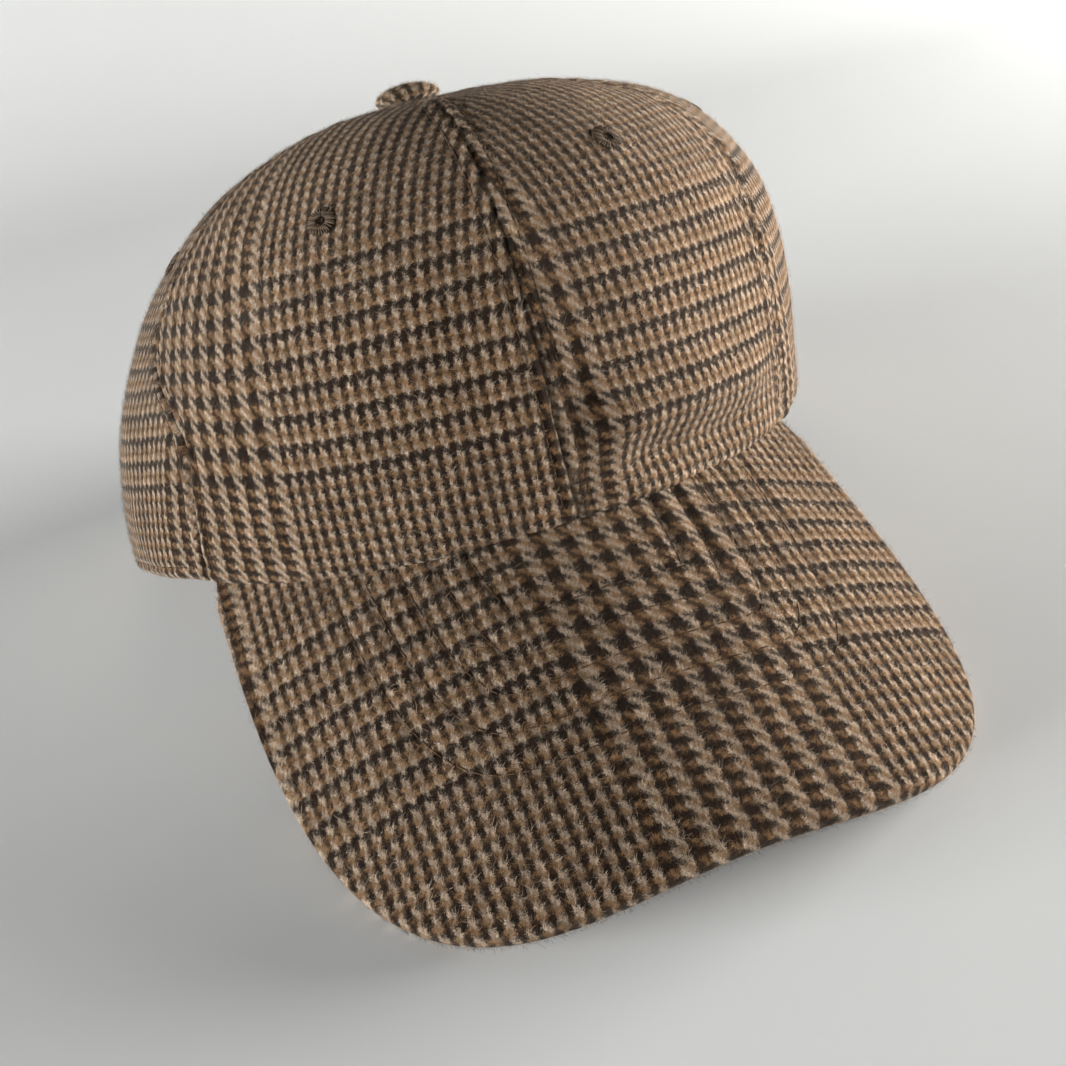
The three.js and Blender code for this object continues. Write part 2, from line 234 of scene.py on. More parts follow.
# %% Edges of a panel
SEAM_GROOVE = 1.1
SEAM_GROOVE_WIDTH = 0.9
SEAM_TUCK = 0.8
ALLOWANCE_SWELL = 0.35
STITCH_FROM_SEAM = 3.2
ALLOWANCE_WIDTH = STITCH_FROM_SEAM / 2.6
STITCH_FROM_RIM = 3.0
STITCH_DIP = 0.25
STITCH_DIP_WIDTH = 0.75
HEM_ROLL = 1.3
RIPPLE = 0.3
PUCKER = 0.14
PUCKER_LENGTH = 7.0
CLOTH = 2.2

FRONT_SEAM = 1.3
PANELS = {
    "front_panel_left": (FRONT_SEAM, LEFT_CORNER),
    "side_panel_left": (LEFT_CORNER, (LEFT_CORNER + 180) / 2),
    "back_panel_left": ((LEFT_CORNER + 180) / 2, 180.0),
    "back_panel_right": (180.0, 360 - (RIGHT_CORNER + 180) / 2),
    "side_panel_right": (360 - (RIGHT_CORNER + 180) / 2, 360 - RIGHT_CORNER),
    "front_panel_right": (360 - RIGHT_CORNER, 360 + FRONT_SEAM),
}
OVER_PEAK = ("front_panel_left", "front_panel_right")

# Half way up, the seams behind the front panels swing back by these angles
SEAM_SWING = {LEFT_CORNER: 8.0, 360 - RIGHT_CORNER: -18.0}
SWING_START = 0.2
SWING_FULL = 0.45
SWING_END = 0.7
SHORT_STEP = 0.002


def seam_angle(seam, rise):
    out = smooth((rise - SWING_START) / (SWING_FULL - SWING_START))
    home = smooth((rise - SWING_END) / (1 - SWING_END))
    return seam + SEAM_SWING.get(seam, 0.0) * out * (1 - home)


def panel_angle(panel, across, rise):
    start, end = (seam_angle(seam, rise) for seam in PANELS[panel])
    return start + (end - start) * across


def bell(distance, width):
    return np.exp(-((distance / width) ** 2))


def smooth_panel(panel, across, rise):
    return crown_point(panel_angle(panel, across, rise), rise, across)


def unit(vectors):
    return vectors / np.linalg.norm(vectors, axis=-1, keepdims=True)


def across_step(panel, across, rise):
    """A short step across the panel."""
    ahead = smooth_panel(panel, across + SHORT_STEP, rise)
    return ahead - smooth_panel(panel, across - SHORT_STEP, rise)


def panel_normal(panel, across, rise):
    """Outward normal from two short steps on the face."""
    below = np.maximum(rise - SHORT_STEP, 0)
    upward = smooth_panel(panel, across, rise + SHORT_STEP) - smooth_panel(panel, across, below)
    return unit(np.cross(upward, across_step(panel, across, rise)))


def puckers(along):
    return PUCKER * np.sin(2 * math.pi * along / PUCKER_LENGTH)


def edge_relief(from_seam, from_rim, along_seam, along_rim, hemmed):
    groove = -SEAM_GROOVE * np.exp(-from_seam / SEAM_GROOVE_WIDTH)
    swell = ALLOWANCE_SWELL * bell(from_seam - STITCH_FROM_SEAM / 2, ALLOWANCE_WIDTH)
    dip = -STITCH_DIP * bell(from_seam - STITCH_FROM_SEAM, STITCH_DIP_WIDTH)
    pucker = puckers(along_seam) * bell(from_seam, 2 * STITCH_FROM_SEAM)
    hem = -HEM_ROLL * np.exp(-from_rim / SEAM_GROOVE_WIDTH)
    hem_dip = -STITCH_DIP * bell(from_rim - STITCH_FROM_RIM, STITCH_DIP_WIDTH)
    hem_pucker = puckers(along_rim) * bell(from_rim, 2 * STITCH_FROM_RIM)
    return groove + swell + dip + pucker + hem + hemmed * (hem_dip + hem_pucker)


def ripple(u, v):
    slow = np.sin(u / 7.1 + 0.9 * np.sin(v / 11.0)) * np.sin(v / 8.3 + 1.3 * np.sin(u / 13.0))
    quick = np.sin(u / 3.7 + 1.7 * np.sin(v / 5.9)) * np.sin(v / 4.3 + 0.8)
    return RIPPLE * (slow + 0.35 * quick)


# %% [markdown]
# Cloth has a grain. A glen check only looks right if its threads run as they do on a real panel: the warp
# up the middle of the gore, the weft square to it, both cut off by the slanting seams. So each panel
# carries a UV map in millimetres, measured on its surface: U along the weft from the middle line, V up
# the warp. Wool gives, and pressing lets the weft follow the level of the rim. Only on the front panels
# it runs a little askew. A shift says which part of the bolt the panel was cut from.

# %% Rows, columns and the flat measure of a panel
EDGE_STEPS = np.array([0, 0.3, 0.6, 0.95, 1.35, 1.8, 2.3, 2.75, 3.2, 3.7, 4.3, 5.2, 6.3])
CLOTH_STEP = 1.6
SAMPLES = 400
WIDTH_SAMPLES = 41
RIPPLE_SHIFT = 40


def spread(length, both_ends):
    """Places from 0 to length, close together at the edge and a cloth step apart elsewhere."""
    last = length - EDGE_STEPS[-1] if both_ends else length
    count = max(int(round((last - EDGE_STEPS[-1]) / CLOTH_STEP)), 2)
    middle = np.linspace(EDGE_STEPS[-1], last, count + 1)[1:]
    if not both_ends:
        return np.concatenate([EDGE_STEPS, middle])
    return np.concatenate([EDGE_STEPS, middle, length - EDGE_STEPS[-2::-1]])


def lengths(points):
    """Running length along the last-but-one axis of a line of points."""
    steps = np.linalg.norm(np.diff(points, axis=-2), axis=-1)
    zero = np.zeros(steps.shape[:-1] + (1,))
    return np.concatenate([zero, np.cumsum(steps, axis=-1)], axis=-1)


# How the weft runs askew on the front panels, low down and higher up
SKEW_START = 0.2
SKEW_SPAN = 0.27
GRAIN_SKEW = {"front_panel_right": (0.078, 0.0), "front_panel_left": (0.06, 0.035)}

RISE_TABLE = np.linspace(0, 1, SAMPLES)
reference = smooth_panel("front_panel_right", np.full(SAMPLES, 0.5), RISE_TABLE)
apex_distance = np.hypot(reference[:, 0] - BUTTON_LEFT, reference[:, 1] - BUTTON_FORWARD)
TOP_RISE = float(RISE_TABLE[np.argmax(apex_distance < APEX_HOLE_RADIUS)])
reference_length = lengths(reference)
row_places = spread(float(np.interp(TOP_RISE, RISE_TABLE, reference_length)), both_ends=False)
ROWS = np.interp(row_places, reference_length, RISE_TABLE)
print("rows up a panel:", len(ROWS), "to rise", round(TOP_RISE, 3))


class PanelMeasure:
    """The flat measure of one panel: how wide it is at each rise, and where each point lies on the cloth."""

    def __init__(self, panel):
        self.panel = panel
        across = np.linspace(0, 1, WIDTH_SAMPLES)
        face = smooth_panel(panel, across[None, :], RISE_TABLE[:, None])
        self.width = lengths(face)[:, -1]
        self.middle = sum(PANELS[panel]) / 2
        self.height = lengths(crown_point(np.full(SAMPLES, self.middle), RISE_TABLE, 0.5))
        ends = panel_angle(panel, np.array([[0.0], [1.0]]), RISE_TABLE[None])
        self.per_degree = self.width / (ends[1] - ends[0])

    def at(self, table, rise):
        return np.interp(rise, RISE_TABLE, table)

    def places(self, across, rise):
        u = (panel_angle(self.panel, across, rise) - self.middle) * self.at(self.per_degree, rise)
        low, high = GRAIN_SKEW.get(self.panel, (0, 0))
        v = self.at(self.height, rise) + u * (low + (high - low) * smooth((rise - SKEW_START) / SKEW_SPAN))
        return u, v

    def face(self, across, rise):
        """The finished outer face, with its seams, hem and ripple."""
        width = self.at(self.width, rise)
        up = self.at(self.height, rise)
        from_seam = np.minimum(across, 1 - across) * width
        u, v = self.places(across, rise)
        hemmed = self.panel not in OVER_PEAK
        shift = RIPPLE_SHIFT * PANEL_ORDER[self.panel]
        relief = edge_relief(from_seam, up, up, u, hemmed) + ripple(u + shift, v)
        smooth_face = smooth_panel(self.panel, across, rise)
        return smooth_face + panel_normal(self.panel, across, rise) * relief[..., None]


PANEL_ORDER = {panel: order for order, panel in enumerate(PANELS)}
measures = {panel: PanelMeasure(panel) for panel in PANELS}
for panel, measure in measures.items():
    size = [round(float(value), 1) for value in (measure.width[0], measure.height[-1])]
    print(panel, "is", size[0], "mm wide at the rim and", size[1], "up its middle")

# %% [markdown]
# The weave is a node group, so that the crown, the peak and the loose fibres all show the same cloth. A
# glen check is a plain recipe: a twill where every thread passes over two and under two, woven from light
# and dark threads in two orders, four and four in one zone and two and two in the next, both up and
# across. Where the zones cross, the four familiar textures appear by themselves. The group counts
# threads, finds which one lies on top, and gives it the colour of its order. A little noise in the
# coordinates makes the threads' edges woolly. The colour also gets painted shade, dark in the gaps
# between threads and light on their crests.

# %% Node helpers
WARP_PITCH = 0.68
WEFT_PITCH = 0.7
WARP_LARGE = 64
WARP_REPEAT = 144
WEFT_LARGE = 64
WEFT_REPEAT = 144


def add_node(tree, kind, **settings):
    made = tree.nodes.new(kind)
    for name, value in settings.items():
        setattr(made, name, value)
    return made


def feed(tree, socket, value):
    if isinstance(value, bpy.types.NodeSocket):
        tree.links.new(value, socket)
    else:
        socket.default_value = value


def calc(tree, operation, *values):
    made = add_node(tree, "ShaderNodeMath", operation=operation)
    for socket, value in zip(made.inputs, values):
        feed(tree, socket, value)
    return made.outputs[0]


def vector_calc(tree, operation, *values):
    made = add_node(tree, "ShaderNodeVectorMath", operation=operation)
    for socket, value in zip(made.inputs, values):
        feed(tree, socket, value)
    return made.outputs[0]


def scaled(tree, vector, factor):
    made = add_node(tree, "ShaderNodeVectorMath", operation="SCALE")
    feed(tree, made.inputs["Vector"], vector)
    feed(tree, made.inputs["Scale"], factor)
    return made.outputs[0]


def mix_colors(tree, share, first, second):
    made = add_node(tree, "ShaderNodeMix", data_type="RGBA")
    feed(tree, made.inputs[0], share)
    feed(tree, made.inputs[6], first)
    feed(tree, made.inputs[7], second)
    return made.outputs[2]


def mix_values(tree, share, first, second):
    made = add_node(tree, "ShaderNodeMix", data_type="FLOAT")
    feed(tree, made.inputs[0], share)
    feed(tree, made.inputs[2], first)
    feed(tree, made.inputs[3], second)
    return made.outputs[0]


def noise(tree, vector, scale, detail=2.0):
    made = add_node(tree, "ShaderNodeTexNoise")
    feed(tree, made.inputs["Vector"], vector)
    made.inputs["Scale"].default_value = scale
    made.inputs["Detail"].default_value = detail
    return made


# %% The glen check
# The dark warp threads start two threads later than the dark weft threads, which makes the fine zones columns
WARP_START = 2
WEFT_START = 0
WARP_COVER = 2.1
FLOAT_SLANT = 0.5
FIBRE_LEAN = math.radians(20)
WANDER_SCALE = 0.9
FRAY_STRETCH = (0.1, 0.3, 1)
UNDER_THREAD = 0.32
STRAY_SCALE = 3.1
STRAY_FROM = 0.45
STRAY_TO = 0.75
HAIR_LENGTH = 0.7
HAIR_WIDTH = 0.16
HAIR_HEIGHT = 1.2
CLOUD_SCALE = 0.09

# How light a spot is: fibres, the thread's own shade and large clouds, then painted shade between the threads
# over all, darkest in the gaps and lightest on the crests
HAIR_TONE = 1.9
SPUN_TONE = 0.3
CLOUD_TONE = 0.4
BASE_TONE = -0.39
LOWEST_TONE = 0.3
CREST_PAINTED_SHADE = 1.1
GAP_PAINTED_SHADE = 0.2

# Odd factors, so that no two threads near each other get the same shade
WARP_SHADES = (3.17, 7.31)
WEFT_SHADES = (2.39, 5.77)


def thread_order(tree, thread, start, large_zone, repeat):
    """1 where this thread is a dark one, from its number in the repeat of the cloth."""
    place = calc(tree, "FLOORED_MODULO", thread, repeat)
    large = calc(tree, "LESS_THAN", place, large_zone)
    counted = calc(tree, "SUBTRACT", thread, start)
    in_fours = calc(tree, "LESS_THAN", calc(tree, "FLOORED_MODULO", counted, 8), 3.5)
    in_twos = calc(tree, "LESS_THAN", calc(tree, "FLOORED_MODULO", counted, 4), 1.5)
    return mix_values(tree, large, in_twos, in_fours)


def thread_shade(tree, thread, stretch, factors):
    """Each thread, and each stretch of it that shows, is spun a little lighter or darker than the next."""
    number = calc(tree, "MULTIPLY_ADD", stretch, factors[0], calc(tree, "MULTIPLY", thread, factors[1]))
    made = add_node(tree, "ShaderNodeTexWhiteNoise", noise_dimensions="1D")
    feed(tree, made.inputs["W"], number)
    return made.outputs["Value"]


def hump(tree, place):
    return calc(tree, "SINE", calc(tree, "MULTIPLY", place, math.pi))


def strayed(tree, cloth, scale, detail):
    """A small sideways stray of the threads, noise about zero."""
    return vector_calc(tree, "SUBTRACT", noise(tree, cloth, scale, detail).outputs["Color"], (0.5, 0.5, 0.5))


def along_fibres(tree, cloth, stretch):
    """The cloth map turned and squeezed, so that noise in it is drawn out into leaning fibres."""
    made = add_node(tree, "ShaderNodeMapping", vector_type="TEXTURE")
    feed(tree, made.inputs["Vector"], cloth)
    made.inputs["Rotation"].default_value = (0, 0, FIBRE_LEAN)
    made.inputs["Scale"].default_value = stretch
    return made.outputs[0]


def make_glen_check():
    tree = bpy.data.node_groups.new("glen_check", "ShaderNodeTree")
    tree.interface.new_socket("Cloth", in_out="INPUT", socket_type="NodeSocketVector")
    tree.interface.new_socket("Wander", in_out="INPUT", socket_type="NodeSocketFloat")
    tree.interface.new_socket("Fray", in_out="INPUT", socket_type="NodeSocketFloat")
    for label in ("Warp Light", "Warp Dark", "Weft Light", "Weft Dark"):
        tree.interface.new_socket(label, in_out="INPUT", socket_type="NodeSocketColor")
    tree.interface.new_socket("Color", in_out="OUTPUT", socket_type="NodeSocketColor")
    tree.interface.new_socket("Height", in_out="OUTPUT", socket_type="NodeSocketFloat")
    given = add_node(tree, "NodeGroupInput").outputs
    result = add_node(tree, "NodeGroupOutput").inputs
    cloth = given["Cloth"]

    wandering = strayed(tree, cloth, WANDER_SCALE, 1.0)
    woolly = vector_calc(tree, "ADD", cloth, scaled(tree, wandering, given["Wander"]))
    frayed = strayed(tree, along_fibres(tree, cloth, FRAY_STRETCH), 1.0, 1.0)
    woolly = vector_calc(tree, "ADD", woolly, scaled(tree, frayed, given["Fray"]))
    split = add_node(tree, "ShaderNodeSeparateXYZ")
    feed(tree, split.inputs[0], woolly)
    warp_place = calc(tree, "DIVIDE", split.outputs[0], WARP_PITCH)
    weft_place = calc(tree, "DIVIDE", split.outputs[1], WEFT_PITCH)
    warp = calc(tree, "FLOOR", warp_place)
    weft = calc(tree, "FLOOR", weft_place)
    warp_side = calc(tree, "FRACT", warp_place)
    weft_side = calc(tree, "FRACT", weft_place)

    # Over two, under two: the step is a whole number in each crossing, and the slant rounds its corners off
    step = calc(tree, "ADD", warp, weft)
    corner = calc(tree, "SUBTRACT", calc(tree, "ADD", warp_side, weft_side), 1)
    centred = calc(tree, "ADD", step, WARP_COVER / 2 - 0.5)
    slanted = calc(tree, "MULTIPLY_ADD", corner, FLOAT_SLANT, centred)
    warp_on_top = calc(tree, "LESS_THAN", calc(tree, "FLOORED_MODULO", slanted, 4), WARP_COVER)

    warp_dark = thread_order(tree, warp, WARP_START, WARP_LARGE, WARP_REPEAT)
    weft_dark = thread_order(tree, weft, WEFT_START, WEFT_LARGE, WEFT_REPEAT)
    warp_color = mix_colors(tree, warp_dark, given["Warp Light"], given["Warp Dark"])
    weft_color = mix_colors(tree, weft_dark, given["Weft Light"], given["Weft Dark"])

    # Fibres of the thread underneath come up through the one on top
    stray_fibres = noise(tree, cloth, STRAY_SCALE, 1.0).outputs[0]
    shown = add_node(tree, "ShaderNodeMapRange", clamp=True)
    feed(tree, shown.inputs["Value"], stray_fibres)
    shown.inputs["From Min"].default_value = STRAY_FROM
    shown.inputs["From Max"].default_value = STRAY_TO
    shown.inputs["To Max"].default_value = UNDER_THREAD
    top = mix_colors(tree, warp_on_top, weft_color, warp_color)
    under = mix_colors(tree, warp_on_top, warp_color, weft_color)
    seen = mix_colors(tree, shown.outputs[0], top, under)

    stretch = calc(tree, "FLOOR", calc(tree, "DIVIDE", step, 4))
    warp_spun = thread_shade(tree, warp, stretch, WARP_SHADES)
    weft_spun = thread_shade(tree, weft, stretch, WEFT_SHADES)
    spun = mix_values(tree, warp_on_top, weft_spun, warp_spun)
    warp_hairs = noise(tree, along_fibres(tree, cloth, (HAIR_WIDTH, HAIR_LENGTH, 1)), 1.0).outputs[0]
    weft_hairs = noise(tree, along_fibres(tree, cloth, (HAIR_LENGTH, HAIR_WIDTH, 1)), 1.0).outputs[0]
    hairs = mix_values(tree, warp_on_top, weft_hairs, warp_hairs)
    cloud = noise(tree, cloth, CLOUD_SCALE, 1.0).outputs[0]

    ahead = WARP_COVER / 2 - 1
    along_warp = calc(tree, "ADD", calc(tree, "ADD", weft_place, warp), ahead)
    along_warp = calc(tree, "DIVIDE", calc(tree, "FLOORED_MODULO", along_warp, 4), WARP_COVER)
    along_weft = calc(tree, "ADD", calc(tree, "ADD", warp_place, weft), ahead)
    along_weft = calc(tree, "SUBTRACT", calc(tree, "FLOORED_MODULO", along_weft, 4), WARP_COVER)
    along_weft = calc(tree, "DIVIDE", along_weft, 4 - WARP_COVER)
    along = hump(tree, mix_values(tree, warp_on_top, along_weft, along_warp))
    side = hump(tree, mix_values(tree, warp_on_top, weft_side, warp_side))
    crest = calc(tree, "MULTIPLY", calc(tree, "MULTIPLY_ADD", along, 0.5, 0.5), calc(tree, "SQRT", side))
    feed(tree, result["Height"], calc(tree, "MULTIPLY_ADD", hairs, HAIR_HEIGHT, crest))

    tone = calc(tree, "MULTIPLY_ADD", hairs, HAIR_TONE, BASE_TONE)
    tone = calc(tree, "MULTIPLY_ADD", spun, SPUN_TONE, tone)
    tone = calc(tree, "MULTIPLY_ADD", cloud, CLOUD_TONE, tone)
    tone = calc(tree, "MAXIMUM", tone, LOWEST_TONE)
    # Painted shade: the colour is darkened in the gaps between threads, where the crest is low
    tone = calc(tree, "MULTIPLY", tone, calc(tree, "MULTIPLY_ADD", crest, CREST_PAINTED_SHADE, GAP_PAINTED_SHADE))
    feed(tree, result["Color"], scaled(tree, seen, tone))
    return tree


glen_check = make_glen_check()
print("nodes in the glen check:", len(glen_check.nodes))

# %% [markdown]
# The finishes. Wool scatters light through its nap, so it is rough, has almost no highlight and gets a
# little sheen, which lifts the tone where the cloth turns away. The four yarns are cream and brown up the
# cloth, camel and near black across it. The reverse is the same cloth seen from inside, without the
# brushed nap, so it is duller. Threads get a fine ply from a wave along their length.

# %% Wool finishes
def linear(red, green, blue):
    """A colour as it is read off a screen, from 0 to 255, for a shader."""
    channel = [value / 255 for value in (red, green, blue)]
    return tuple(c / 12.92 if c <= 0.04045 else ((c + 0.055) / 1.055) ** 2.4 for c in channel) + (1.0,)


YARNS = {
    "Warp Light": linear(200, 177, 153),
    "Warp Dark": linear(47, 30, 20),
    "Weft Light": linear(148, 113, 78),
    "Weft Dark": linear(29, 19, 13),
}


def wool(name, wander, fray, roughness, sheen, relief, strength):
    """Wander and fray say how far threads and fibres stray. Relief is the weave's depth in millimetres."""
    material = bpy.data.materials.new(name)
    material.use_nodes = True
    tree = material.node_tree
    shader = tree.nodes["Principled BSDF"]
    weave = add_node(tree, "ShaderNodeGroup", node_tree=glen_check)
    place = add_node(tree, "ShaderNodeUVMap", uv_map="cloth")
    feed(tree, weave.inputs["Cloth"], place.outputs[0])
    weave.inputs["Wander"].default_value = wander
    weave.inputs["Fray"].default_value = fray
    for label, color in YARNS.items():
        weave.inputs[label].default_value = color
    feed(tree, shader.inputs["Base Color"], weave.outputs["Color"])
    bump = add_node(tree, "ShaderNodeBump")
    bump.inputs["Strength"].default_value = strength
    bump.inputs["Distance"].default_value = relief * MM
    feed(tree, bump.inputs["Height"], weave.outputs["Height"])
    feed(tree, shader.inputs["Normal"], bump.outputs[0])
    shader.inputs["Roughness"].default_value = roughness
    shader.inputs["Specular IOR Level"].default_value = 0.03
    shader.inputs["Sheen Weight"].default_value = sheen
    shader.inputs["Sheen Roughness"].default_value = 0.3
    shader.inputs["Sheen Tint"].default_value = linear(240, 230, 216)
    return material


check_wool = wool("check_wool", 0.9, 2.0, 0.92, 0.3, 0.4, 0.9)
wool_reverse = wool("wool_reverse", 1.2, 1.4, 0.95, 0.05, 0.2, 0.6)
peak_wool = wool("peak_wool", 0.9, 2.1, 0.92, 0.25, 0.4, 0.9)
wool_nap = wool("wool_nap", 0.6, 0.6, 0.9, 0.2, 0.05, 0.1)
print("wool finishes:", check_wool.name, wool_reverse.name, peak_wool.name, wool_nap.name)


# %% Thread finishes
def thread(name, color, dark, ply):
    """Two tones in a fine twist along the stitch. Ply is how many turns show in a millimetre."""
    material = bpy.data.materials.new(name)
    material.use_nodes = True
    tree = material.node_tree
    shader = tree.nodes["Principled BSDF"]
    place = add_node(tree, "ShaderNodeTexCoord")
    twist = add_node(tree, "ShaderNodeTexWave", bands_direction="DIAGONAL")
    feed(tree, twist.inputs["Vector"], place.outputs["Object"])
    twist.inputs["Scale"].default_value = ply / MM / 6
    twist.inputs["Distortion"].default_value = 3.0
    feed(tree, shader.inputs["Base Color"], mix_colors(tree, twist.outputs[1], dark, color))
    bump = add_node(tree, "ShaderNodeBump")
    bump.inputs["Strength"].default_value = 0.5
    bump.inputs["Distance"].default_value = 0.08 * MM
    feed(tree, bump.inputs["Height"], twist.outputs[1])
    feed(tree, shader.inputs["Normal"], bump.outputs[0])
    shader.inputs["Roughness"].default_value = 0.85
    shader.inputs["Specular IOR Level"].default_value = 0.15
    return material


sewing_thread = thread("sewing_thread", linear(94, 74, 57), linear(62, 46, 35), 2.0)
eyelet_thread = thread("eyelet_thread", linear(88, 74, 59), linear(58, 47, 37), 2.0)

# %% [markdown]
# A panel starts as Blender's flat grid, the way a cutter starts with flat cloth. Its vertices are then
# draped: every one is moved to the place on the crown that its column and row stand for. The grid is
# finer at its edges, where the seams and the hem need it. Two UV maps go on while it is still one layer,
# "cloth" in millimetres and "OFBake", a plain layout of the piece in a unit square. A Solidify modifier
# then gives it the cloth's thickness.

# %% Draping a grid
def deselect():
    bpy.ops.object.select_all(action="DESELECT")


def pick(piece):
    """Makes a piece the only one selected, and the active one."""
    deselect()
    piece.select_set(True)
    bpy.context.view_layer.objects.active = piece


def face_outward():
    """Turns all faces of the active piece to the same side, the outer one where it is closed."""
    bpy.ops.object.mode_set(mode="EDIT")
    bpy.ops.mesh.select_all(action="SELECT")
    bpy.ops.mesh.normals_make_consistent(inside=False)
    bpy.ops.object.mode_set(mode="OBJECT")


def put_maps(mesh, maps):
    """Gives a mesh these UV maps alone. Each of them has a place for every vertex."""
    corner = np.empty(len(mesh.loops), np.int32)
    mesh.loops.foreach_get("vertex_index", corner)
    while mesh.uv_layers:
        mesh.uv_layers.remove(mesh.uv_layers[0])
    for map_name, places in maps.items():
        layer = mesh.uv_layers.new(name=map_name)
        layer.uv.foreach_set("vector", places[corner].ravel())
    mesh.update()


def draped_grid(name, points, maps):
    """A grid primitive whose vertices take the places in points, an array of columns by rows."""
    columns, rows = points.shape[:2]
    deselect()
    bpy.ops.mesh.primitive_grid_add(x_subdivisions=columns - 1, y_subdivisions=rows - 1, size=2)
    piece = bpy.context.object
    piece.name = name
    mesh = piece.data
    mesh.name = name
    flat = np.empty(len(mesh.vertices) * 3)
    mesh.vertices.foreach_get("co", flat)
    flat = flat.reshape(-1, 3)
    column = np.rint((flat[:, 0] + 1) / 2 * (columns - 1)).astype(int)
    row = np.rint((flat[:, 1] + 1) / 2 * (rows - 1)).astype(int)
    mesh.vertices.foreach_set("co", points[column, row].ravel())
    put_maps(mesh, {map_name: places[column, row] for map_name, places in maps.items()})
    return piece


def apply_modifier(piece, kind, **settings):
    pick(piece)
    modifier = piece.modifiers.new(kind.title(), kind)
    for name, value in settings.items():
        setattr(modifier, name, value)
    bpy.ops.object.modifier_apply(modifier=modifier.name)


def shade_smooth(piece):
    pick(piece)
    bpy.ops.object.shade_smooth()


# %% Panels
# Where each panel lies on the bolt: shift of U and V in millimetres
LARGE_WIDTH = WARP_LARGE * WARP_PITCH
BOLT_SHIFT = {
    "front_panel_right": (LARGE_WIDTH + 16, -20.2),
    "front_panel_left": (LARGE_WIDTH + 26, -18.0),
    "side_panel_right": (LARGE_WIDTH + 20, -20.2),
    "side_panel_left": (LARGE_WIDTH + 40, -20.2),
    "back_panel_right": (LARGE_WIDTH + 60, -20.2),
    "back_panel_left": (LARGE_WIDTH + 10, -20.2),
}
CROWN_INSIDE = Vector((0, 0.02, 0.03))
INSIDE = 1
FACE_LAYOUT = (0.02, 0.27, 0.96, 0.71)
REVERSE_LAYOUT = (0.02, 0.02, 0.3, 0.22)


def cloth_places(panel, across, rise):
    return np.stack(measures[panel].places(across, rise), axis=-1) + np.array(BOLT_SHIFT[panel])


def panel_piece(panel):
    measure = measures[panel]
    columns = spread(float(measure.width[0]), both_ends=True) / float(measure.width[0])
    columns[[0, -1]] += np.array([-1, 1]) * SEAM_TUCK / measure.width[0]
    across, rise = np.meshgrid(columns, ROWS, indexing="ij")
    left, low, width, height = FACE_LAYOUT
    layout = np.stack([left + width * across, low + height * rise / TOP_RISE], axis=-1)
    maps = {"cloth": cloth_places(panel, across, rise), "OFBake": layout}
    piece = draped_grid(panel + "_cloth", settle(measure.face(across, rise)), maps)
    piece.data.materials.append(check_wool)
    piece.data.materials.append(wool_reverse)
    face_outward()
    outward = sum(face.area * face.normal.dot(face.center - CROWN_INSIDE) for face in piece.data.polygons)
    if outward < 0:
        piece.data.flip_normals()
    apply_modifier(piece, "SOLIDIFY", thickness=CLOTH * MM, offset=-1, material_offset=INSIDE)
    return piece


def lay_out_reverse(piece):
    """Gives the reverse of the cloth its own corner of the layout."""
    mesh = piece.data
    corners = [i for face in mesh.polygons if face.material_index == INSIDE for i in face.loop_indices]
    layer = mesh.uv_layers["OFBake"].uv
    left, low, width, height = REVERSE_LAYOUT
    for i in corners:
        u = (layer[i].vector.x - FACE_LAYOUT[0]) / FACE_LAYOUT[2]
        v = (layer[i].vector.y - FACE_LAYOUT[1]) / FACE_LAYOUT[3]
        layer[i].vector = (left + width * u, low + height * v)


panel_pieces = {}
for panel in PANELS:
    panel_pieces[panel] = panel_piece(panel)
    lay_out_reverse(panel_pieces[panel])
    print(panel, "has", len(panel_pieces[panel].data.polygons), "faces")

# %% [markdown]
# An eyelet is a hole with thread sewn round it, stitch beside stitch, each from the hole's edge outwards.
# First the hole is punched through the panel with a cylinder and a Boolean modifier. One stitch is
# modelled from a sphere, drawn out long, and copied round the hole with small changes of length. All
# stitches of an eyelet are one mesh.

# %% A stitch to copy
def modelled_stitch(length, width, segments, rings):
    """Corners and triangles of one stitch along X, a sphere drawn out into a grain."""
    deselect()
    bpy.ops.mesh.primitive_uv_sphere_add(segments=segments, ring_count=rings, radius=0.5)
    grain = bpy.context.object
    bpy.ops.object.mode_set(mode="EDIT")
    bpy.ops.mesh.select_all(action="SELECT")
    bpy.ops.transform.rotate(value=math.pi / 2, orient_axis="Y", center_override=(0, 0, 0))
    bpy.ops.transform.resize(value=(length, width, width))
    bpy.ops.mesh.quads_convert_to_tris()
    bpy.ops.object.mode_set(mode="OBJECT")
    mesh = grain.data
    corners = np.array([v.co for v in mesh.vertices])
    faces = np.array([list(face.vertices) for face in mesh.polygons])
    bpy.data.objects.remove(grain)
    return corners, faces


def joined_mesh(name, corners, faces, maps, material):
    mesh = bpy.data.meshes.new(name)
    mesh.vertices.add(len(corners))
    mesh.vertices.foreach_set("co", np.ascontiguousarray(corners, np.float32).ravel())
    mesh.loops.add(faces.size)
    mesh.loops.foreach_set("vertex_index", np.ascontiguousarray(faces, np.int32).ravel())
    mesh.polygons.add(len(faces))
    mesh.polygons.foreach_set("loop_start", np.arange(0, faces.size, faces.shape[1], dtype=np.int32))
    for map_name, places in maps.items():
        layer = mesh.uv_layers.new(name=map_name)
        layer.uv.foreach_set("vector", np.ascontiguousarray(places[faces], np.float32).ravel())
    mesh.materials.append(material)
    mesh.update(calc_edges=True)
    piece = bpy.data.objects.new(name, mesh)
    bpy.context.scene.collection.objects.link(piece)
    shade_smooth(piece)
    return piece


def cells(count):
    """Lower left corners and width of count equal cells in a unit square."""
    side = math.ceil(math.sqrt(count))
    order = np.arange(count)
    return np.stack([order % side, order // side], axis=-1) / side, 1 / side


